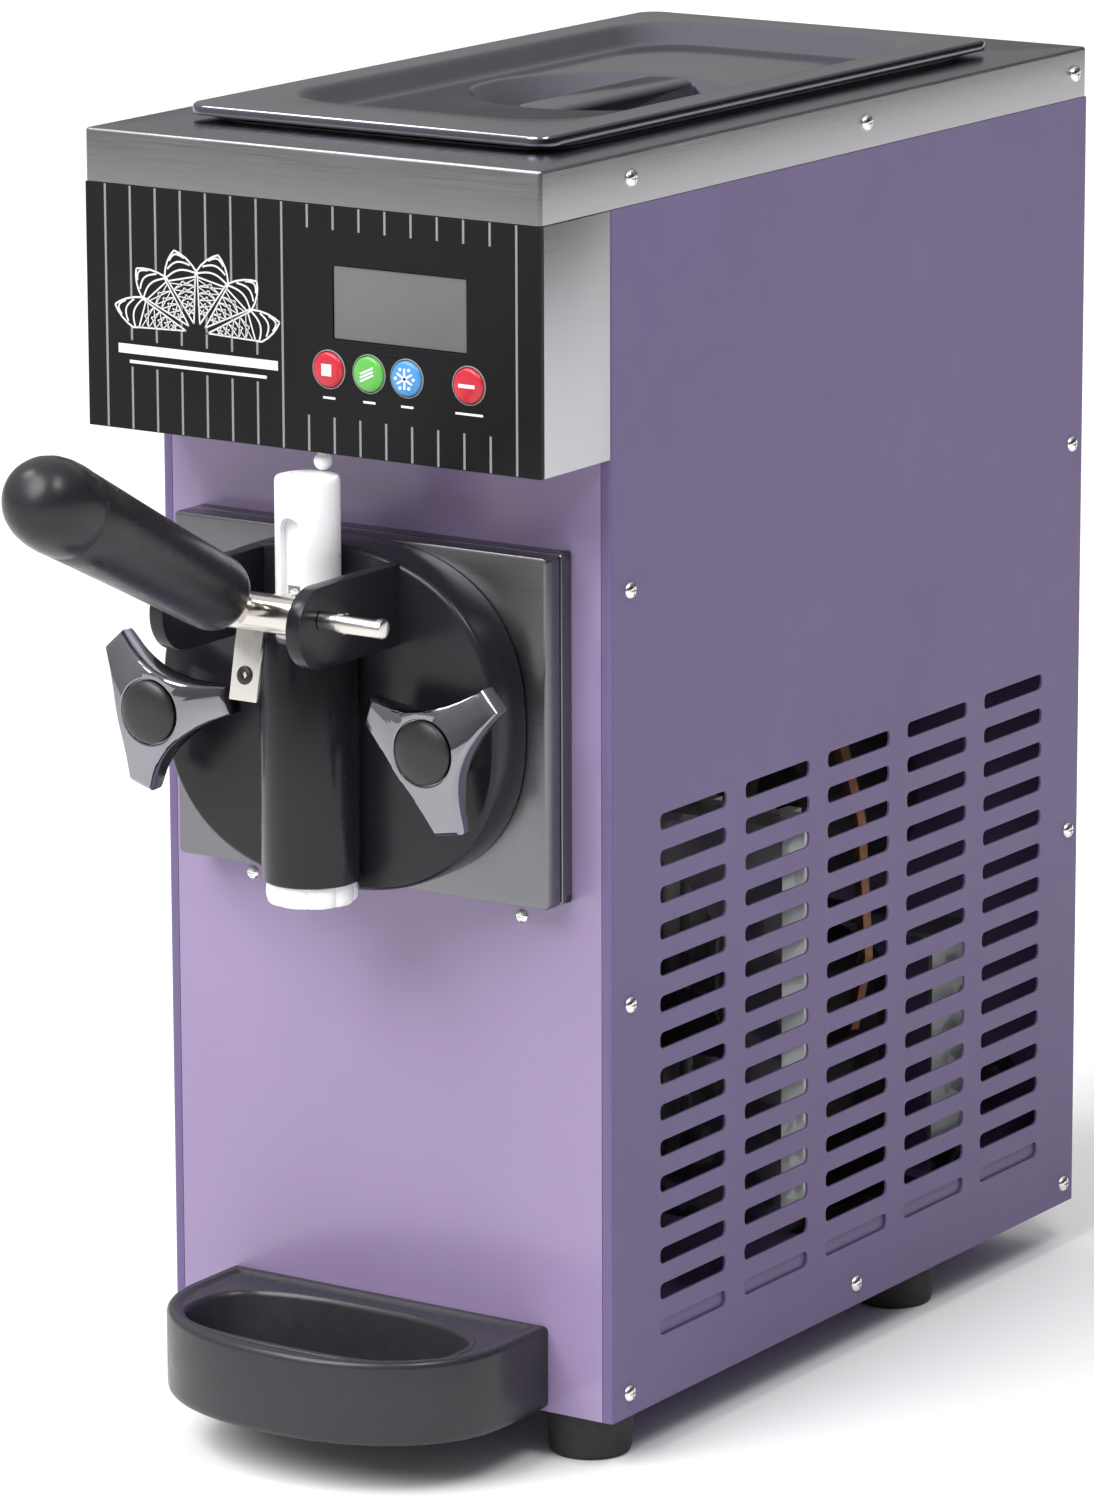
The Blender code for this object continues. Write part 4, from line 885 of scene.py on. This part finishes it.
grip_direction = (0, -cos(RISE), sin(RISE))


def along_grip(distance):
    """A point on the grip's axis, out from the pivot."""
    return (0, PIVOT[1] - distance * cos(RISE), PIVOT[2] + distance * sin(RISE))


hub_profile = [(0, 0), (7.6, 0), (8.5, 0.9), (8.5, 47.0), (7.6, 47.9), (0, 47.9)]
yoke = loose(lathe(bmesh.new(), hub_profile, (-16, *PIVOT[1:]), (1, 0, 0), 48))
strap_outline = [(-106.6, 373), (-113.9, 337.6), (-111.1, 337.2), (-103.6, 373)]
strap = rounded_edges(cut_sheet("strap", strap_outline, [], "YZ", (-2.2, 12.2)), 0.5, 2, 40)
collar_profile = [(0, 0), (7.4, 0), (7.4, 11.5), (9.8, 14.5), (10.6, 17.5), (10.6, 19.6)]
collar_profile += [(6, 20.2), (0, 20.2)]
finger_tip = (0, -67, PIVOT[2])
tip_profile = [(3.4 * sin(radians(t)), 3.4 * cos(radians(t))) for t in range(0, 181, 15)]
yoke_parts = [
    strap,
    loose(lathe(bmesh.new(), collar_profile, PIVOT, grip_direction, 40)),
    bar(along_grip(10), along_grip(56), 5, 24),
    bar(PIVOT, finger_tip, 2.0, 20),
    loose(lathe(bmesh.new(), tip_profile, finger_tip, (0, 1, 0), 20)),
]
combine(yoke, yoke_parts, "UNION")
combine(yoke, [pivot_hole(40)])
dressed(yoke, STEEL_CAST, "draw_lever", ("lever_yoke",), smooth=32)
yoke.name = "yoke_casting"

screw_profile = [(0, 1.5), (3.2, 1.3), (4.1, 0.7), (4.2, -1.5), (0, -1.5)]
screw_place = (5, -111.2, 348.5)
lean = Vector((0, -cos(radians(11.5)), sin(radians(11.5))))
strap_screw = loose(lathe(bmesh.new(), screw_profile, screw_place, lean, 32))
recess = loose(lathe(bmesh.new(), [(0, 3), (1.7, 3), (1.7, 0.4), (0, 0.4)], screw_place, lean, 6))
dressed(combine(strap_screw, [recess]), KNOB_BLACK, "draw_lever")
strap_screw.name = "strap_screw"

grip_profile = [(5.4, 20.6), (11.6, 20.4), (14.4, 20.9), (15.9, 22.4), (16.6, 25.0), (17.0, 32)]
grip_profile += [(17.6, 58), (18.5, 92), (19.5, 124), (19.9, 137.5), (19.7, 138.1), (19.9, 138.7)]
grip_profile += [(20.3, 146), (20.1, 152), (19.2, 157.8), (17.4, 163), (14.6, 167.4), (10.9, 170.6)]
grip_profile += [(6.4, 172.4), (0, 173.0), (0, 58), (5.4, 58)]
lever_grip = lathe(bmesh.new(), grip_profile, PIVOT, grip_direction, 64, closed=True)
piece("grip_moulding", lever_grip, GRIP_BLACK, "draw_lever", ("handle_grip",), smooth=40)

pin_profile = [(0, 72.5), (3.2, 72.5), (4.1, 72.1), (4.5, 71.1), (4.5, 49.2), (4.1, 48.8)]
pin_profile += [(4.1, 40), (3.0, 40), (3.0, -41), (0, -41)]
pin = loose(lathe(bmesh.new(), pin_profile, PIVOT, (1, 0, 0), 40))
flats = []
for low in (PIVOT[2] + 3.7, PIVOT[2] - 6.7):
    flats.append(cuboid((52.0, 69.5), (-110, -96), (low, low + 3)))
dressed(combine(pin, flats), STEEL_CAST, replaces=("pivot_pin",))
pin.name = "hinge_pin"


# ---------------------------------------------------------------- nozzle, tray and feet
def lobe_loop(scale, z, depth=1.6):
    """A round outline with nine lobes."""
    loop = []
    for angle in (2 * pi * i / 144 for i in range(144)):
        radius = scale * (18.9 + depth * abs(cos(4.5 * angle)) ** 0.6)
        loop.append((radius * cos(angle), VALVE_Y + radius * sin(angle), z))
    return loop


nozzle = loose(
    skin(
        bmesh.new(),
        [
            lobe_loop(0.86, 236.6, 1.0),
            lobe_loop(0.95, 236.9, 1.4),
            lobe_loop(0.985, 238.0),
            lobe_loop(1.0, 240.2),
            lobe_loop(0.99, 243.0),
            lobe_loop(0.985, 246.0, 1.0),
        ],
    )
)
star = []
for i in range(12):
    angle, radius = 2 * pi * i / 12, 9.5 if i % 2 else 5.2
    star.append((radius * cos(angle), VALVE_Y + radius * sin(angle)))
combine(nozzle, [cut_sheet("star", star, [], "XY", (220, 250))])
dressed(nozzle, MATERIALS["white_plastic"], replaces=("nozzle_cap",), smooth=45)
nozzle.name = "nozzle_moulding"


TRAY_HALF_WIDTH, TRAY_FRONT_Y, TRAY_BOW_Y, TRAY_BOW_POWER = 86, -98, -32.0, 2.2
TRAY_WELL_Y, TRAY_WELL_POWER = -50.0, 2.8
TRAY_BASE, TRAY_TOP = 1.5, 40.5


def tray_loop(inset, back, z):
    """The tray's D-shaped plan: straight back and sides, a bowed front."""
    side_x, front_y = TRAY_HALF_WIDTH - inset, TRAY_FRONT_Y + inset
    half = [(side_x * part, back) for part in (0, 0.3, 0.55, 0.74, 0.88, 0.96, 1)]
    half += [(side_x, back * (1 - part) + TRAY_BOW_Y * part) for part in (0.15, 0.4, 0.7, 1)]
    for angle in (radians(3.75 * i) for i in range(1, 25)):
        across = abs(cos(angle)) ** (2 / TRAY_BOW_POWER)
        forward = sin(angle) ** (2 / TRAY_BOW_POWER)
        half.append((side_x * across, TRAY_BOW_Y + (front_y - TRAY_BOW_Y) * forward))
    half[-1] = (0.0, front_y)
    return [(u, v, z) for u, v in half + [(-u, v) for u, v in reversed(half[1:-1])]]


def well_ring(scale, z, grow=0.0):
    """The oval well, with as many points as the outline."""
    ring = []
    for u, v, _ in tray_loop(0, -4.0, 0):
        angle = atan2((v - TRAY_WELL_Y) / 48.0, u / TRAY_HALF_WIDTH)
        reach = scale * superellipse_reach(angle, TRAY_WELL_POWER)
        across, forward = (70.5 + grow) * reach * cos(angle), (33.0 + grow) * reach * sin(angle)
        ring.append((across, TRAY_WELL_Y + forward, z))
    return ring


tray_profile = [
    tray_loop(3.2, -2.6, TRAY_BASE),
    tray_loop(1.2, -1.2, TRAY_BASE + 0.6),
    tray_loop(0.3, -0.5, TRAY_BASE + 2.0),
    tray_loop(0.0, -0.4, TRAY_BASE + 4.0),
    tray_loop(0.0, -0.4, TRAY_TOP - 3.2),
    tray_loop(0.3, -0.5, TRAY_TOP - 1.7),
    tray_loop(1.1, -1.3, TRAY_TOP - 0.5),
    tray_loop(2.2, -2.3, TRAY_TOP),
    tray_loop(4.0, -4.2, TRAY_TOP),
    tray_loop(5.0, -5.2, TRAY_TOP - 0.5),
    tray_loop(6.0, -6.2, TRAY_TOP - 1.8),
    tray_loop(7.4, -7.4, TRAY_TOP - 2.2),
    well_ring(1.0, TRAY_TOP - 2.2, 2.6),
    well_ring(1.0, TRAY_TOP - 1.5, 1.9),
    well_ring(1.0, TRAY_TOP - 1.4, 1.0),
    well_ring(1.0, TRAY_TOP - 1.9, 0.2),
    well_ring(0.985, TRAY_TOP - 4.0),
    well_ring(0.93, 11.0),
    well_ring(0.90, 8.0),
    well_ring(0.85, 6.4),
    well_ring(0.78, 6.0),
]
tray = loose(skin(bmesh.new(), tray_profile))
cuts = []
for x in (-50, 50):
    cuts.append(cuboid((x - 3.5, x + 3.5), (-5, 5), (-5, 23.3)))
    cuts.append(cuboid((x - 6.2, x + 6.2), (-9.2, -3.8), (-5, 26.2)))
dressed(combine(tray, cuts), MATERIALS["dark_plastic"], "drip_tray", ("drip_tray",), smooth=40)
tray.name = "tray_moulding"

foot_profile = [(0, 0), (19.6, 0), (20.2, -0.8), (20.1, -2.4), (18.8, -20.4), (18.2, -22.2)]
foot_profile += [(17.2, -23.1), (6, -23.1), (5.2, -21.0), (0, -21.0)]
for depth_name, y in (("front", 25), ("rear", 290)):
    for side_name, x in (("left", -92), ("right", 92)):
        name = f"foot_{depth_name}_{side_name}"
        bm = lathe(bmesh.new(), foot_profile, (x, y, 0.1), (0, 0, 1), 48)
        piece(f"{name}_moulding", bm, MATERIALS["rubber"], replaces=(name,))

# ---------------------------------------------------------------- fasteners
head_profile = [(0, 2.3), (1.6, 2.2), (2.9, 1.75), (3.7, 1.0), (4.0, 0.2), (4.0, -0.3), (0, -0.3)]


def pan_head(name, position, axis, scale=1.0):
    """A cross-head screw that looks out along the axis."""
    profile = [(r * scale, h * scale) for r, h in head_profile]
    screw = loose(lathe(bmesh.new(), profile, position, axis, 32))
    across = Vector((0, 0, 1)) if abs(axis[2]) < 0.5 else Vector((0, 1, 0))
    other = Vector(axis).cross(across)
    for long_way, short_way in ((across, other), (other, across)):
        ring = []
        for u, v in ((-1, -1), (1, -1), (1, 1), (-1, 1)):
            offset = long_way * (2.2 * scale * u) + short_way * (0.4 * scale * v)
            ring.append(Vector(position) + offset)
        near = [point + Vector(axis) * 1.35 * scale for point in ring]
        far = [point + Vector(axis) * 4 * scale for point in ring]
        cross = bmesh.new()
        skin(cross, [near, far])
        combine(screw, [loose(cross)])
    dressed(screw, SCREW_STEEL)
    screw.name = name


SIDE_SCREWS = [(16, 557), (212, 557), (402.5, 557), (15, 376.5), (15, 190), (14, 11), (404, 378.8)]
SIDE_SCREWS += [(405, 188.3), (405, 10), (209, 10.6)]
for side_name, side in SIDES:
    for number, (y, z) in enumerate(SIDE_SCREWS, 1):
        pan_head(f"{side_name}_panel_screw_{number}", (side * HALF_WIDTH, y, z), (side, 0, 0))
rear_screws = [(x, z) for z in (530, 280, 20) for x in (-105, 105)]
for number, (x, z) in enumerate(rear_screws, 1):
    pan_head(f"rear_panel_screw_{number}", (x, DEPTH, z), (0, 1, 0))
for number, (_, x) in enumerate(STUDS, 1):
    pan_head(f"front_panel_screw_{number}", (x, 0.0, 227.0), (0, -1, 0), 0.8)

# ---------------------------------------------------------------- CAD nodes that stay
# The base pan takes the darker copy of the purple paint: painted shade, as on the sides.
for name, node in frame["nodes"].items():
    if not node.hide_render:
        node.data.materials.clear()
        node.data.materials.append(SHADED_SIDE_PAINT if name == "base_pan" else MATERIALS[SLOT_OF[name]])

# ---------------------------------------------------------------- floor, light and camera
floor_mesh = bpy.data.meshes.new("floor")
floor_mesh.from_pydata([(-30, -30, 0), (30, -30, 0), (30, 30, 0), (-30, 30, 0)], [], [(0, 1, 2, 3)])
floor = bpy.data.objects.new("floor", floor_mesh)
bpy.context.scene.collection.objects.link(floor)
pale = Surface("pale_floor", (0.92, 0.92, 0.92), 0.8, specular=0.1)
pale.rough(pale.noise(3), 0.75, 0.85)
floor.data.materials.append(pale.material)

world = bpy.data.worlds.new("studio")
bpy.context.scene.world = world
world.use_nodes = True
sky = world.node_tree
direction_of = sky.nodes.new("ShaderNodeTexCoord")
facing_light = sky.nodes.new("ShaderNodeVectorMath")
facing_light.operation = "DOT_PRODUCT"
facing_light.inputs[1].default_value = (-0.40, -0.12, 0.90)
dome = sky.nodes.new("ShaderNodeMapRange")
dome.inputs["From Min"].default_value = -0.10
dome.inputs["From Max"].default_value = 0.90
dome.inputs["To Min"].default_value = 0.05
dome.inputs["To Max"].default_value = 0.86
sky.links.new(direction_of.outputs["Generated"], facing_light.inputs[0])
sky.links.new(facing_light.outputs["Value"], dome.inputs["Value"])
backdrop = sky.nodes.new("ShaderNodeMix")
backdrop.inputs["B"].default_value = 1.0
sky.links.new(sky.nodes.new("ShaderNodeLightPath").outputs["Is Camera Ray"], backdrop.inputs["Factor"])
sky.links.new(dome.outputs["Result"], backdrop.inputs["A"])
sky.links.new(backdrop.outputs["Result"], sky.nodes["Background"].inputs["Strength"])
sky.nodes["Background"].inputs["Color"].default_value = (1.0, 1.0, 1.0, 1.0)


def aimed(name, data, aim):
    """An object for a light or camera that looks along a direction."""
    obj = bpy.data.objects.new(name, data)
    obj.rotation_mode = "QUATERNION"
    obj.rotation_quaternion = aim.to_track_quat("-Z", "Y")
    bpy.context.scene.collection.objects.link(obj)
    return obj


def softbox(name, position, target, size, power):
    """A square area light, in metres and watts."""
    light = bpy.data.lights.new(name, "AREA")
    light.shape = "RECTANGLE"
    light.size = light.size_y = size
    light.energy = power
    aimed(name, light, Vector(target) - Vector(position)).location = position


softbox("overhead", (-1.16, -0.84, 2.03), (0, 0.3, 0.58), 0.5, 9)
softbox("glint", (1.34, -0.77, 2.24), (0, 0, 0.4), 0.7, 16)
softbox("crown", (1.22, -0.28, 2.70), (0, 0.1, 0.55), 0.5, 6)

key = bpy.data.lights.new("key", "SUN")
key.energy = 2.75
key.angle = radians(40)
key_heading = radians(14)
aimed("key", key, Vector((sin(key_heading) * 0.70, cos(key_heading) * 0.70, -0.71)))

camera_data = bpy.data.cameras.new("camera")
camera_data.lens = 173.31
camera_data.sensor_width = 36.0
camera_data.shift_x = -0.0732
camera_data.shift_y = -0.0166
camera_data.clip_end = 100.0
azimuth, elevation = radians(32.684), radians(13.016)
back = Vector((sin(azimuth) * cos(elevation), -cos(azimuth) * cos(elevation), sin(elevation)))
camera = aimed("camera", camera_data, -back)
camera.location = place(1787.59, -2562.52, 1025.98)
bpy.context.scene.camera = camera
bpy.context.scene.view_settings.view_transform = "Standard"
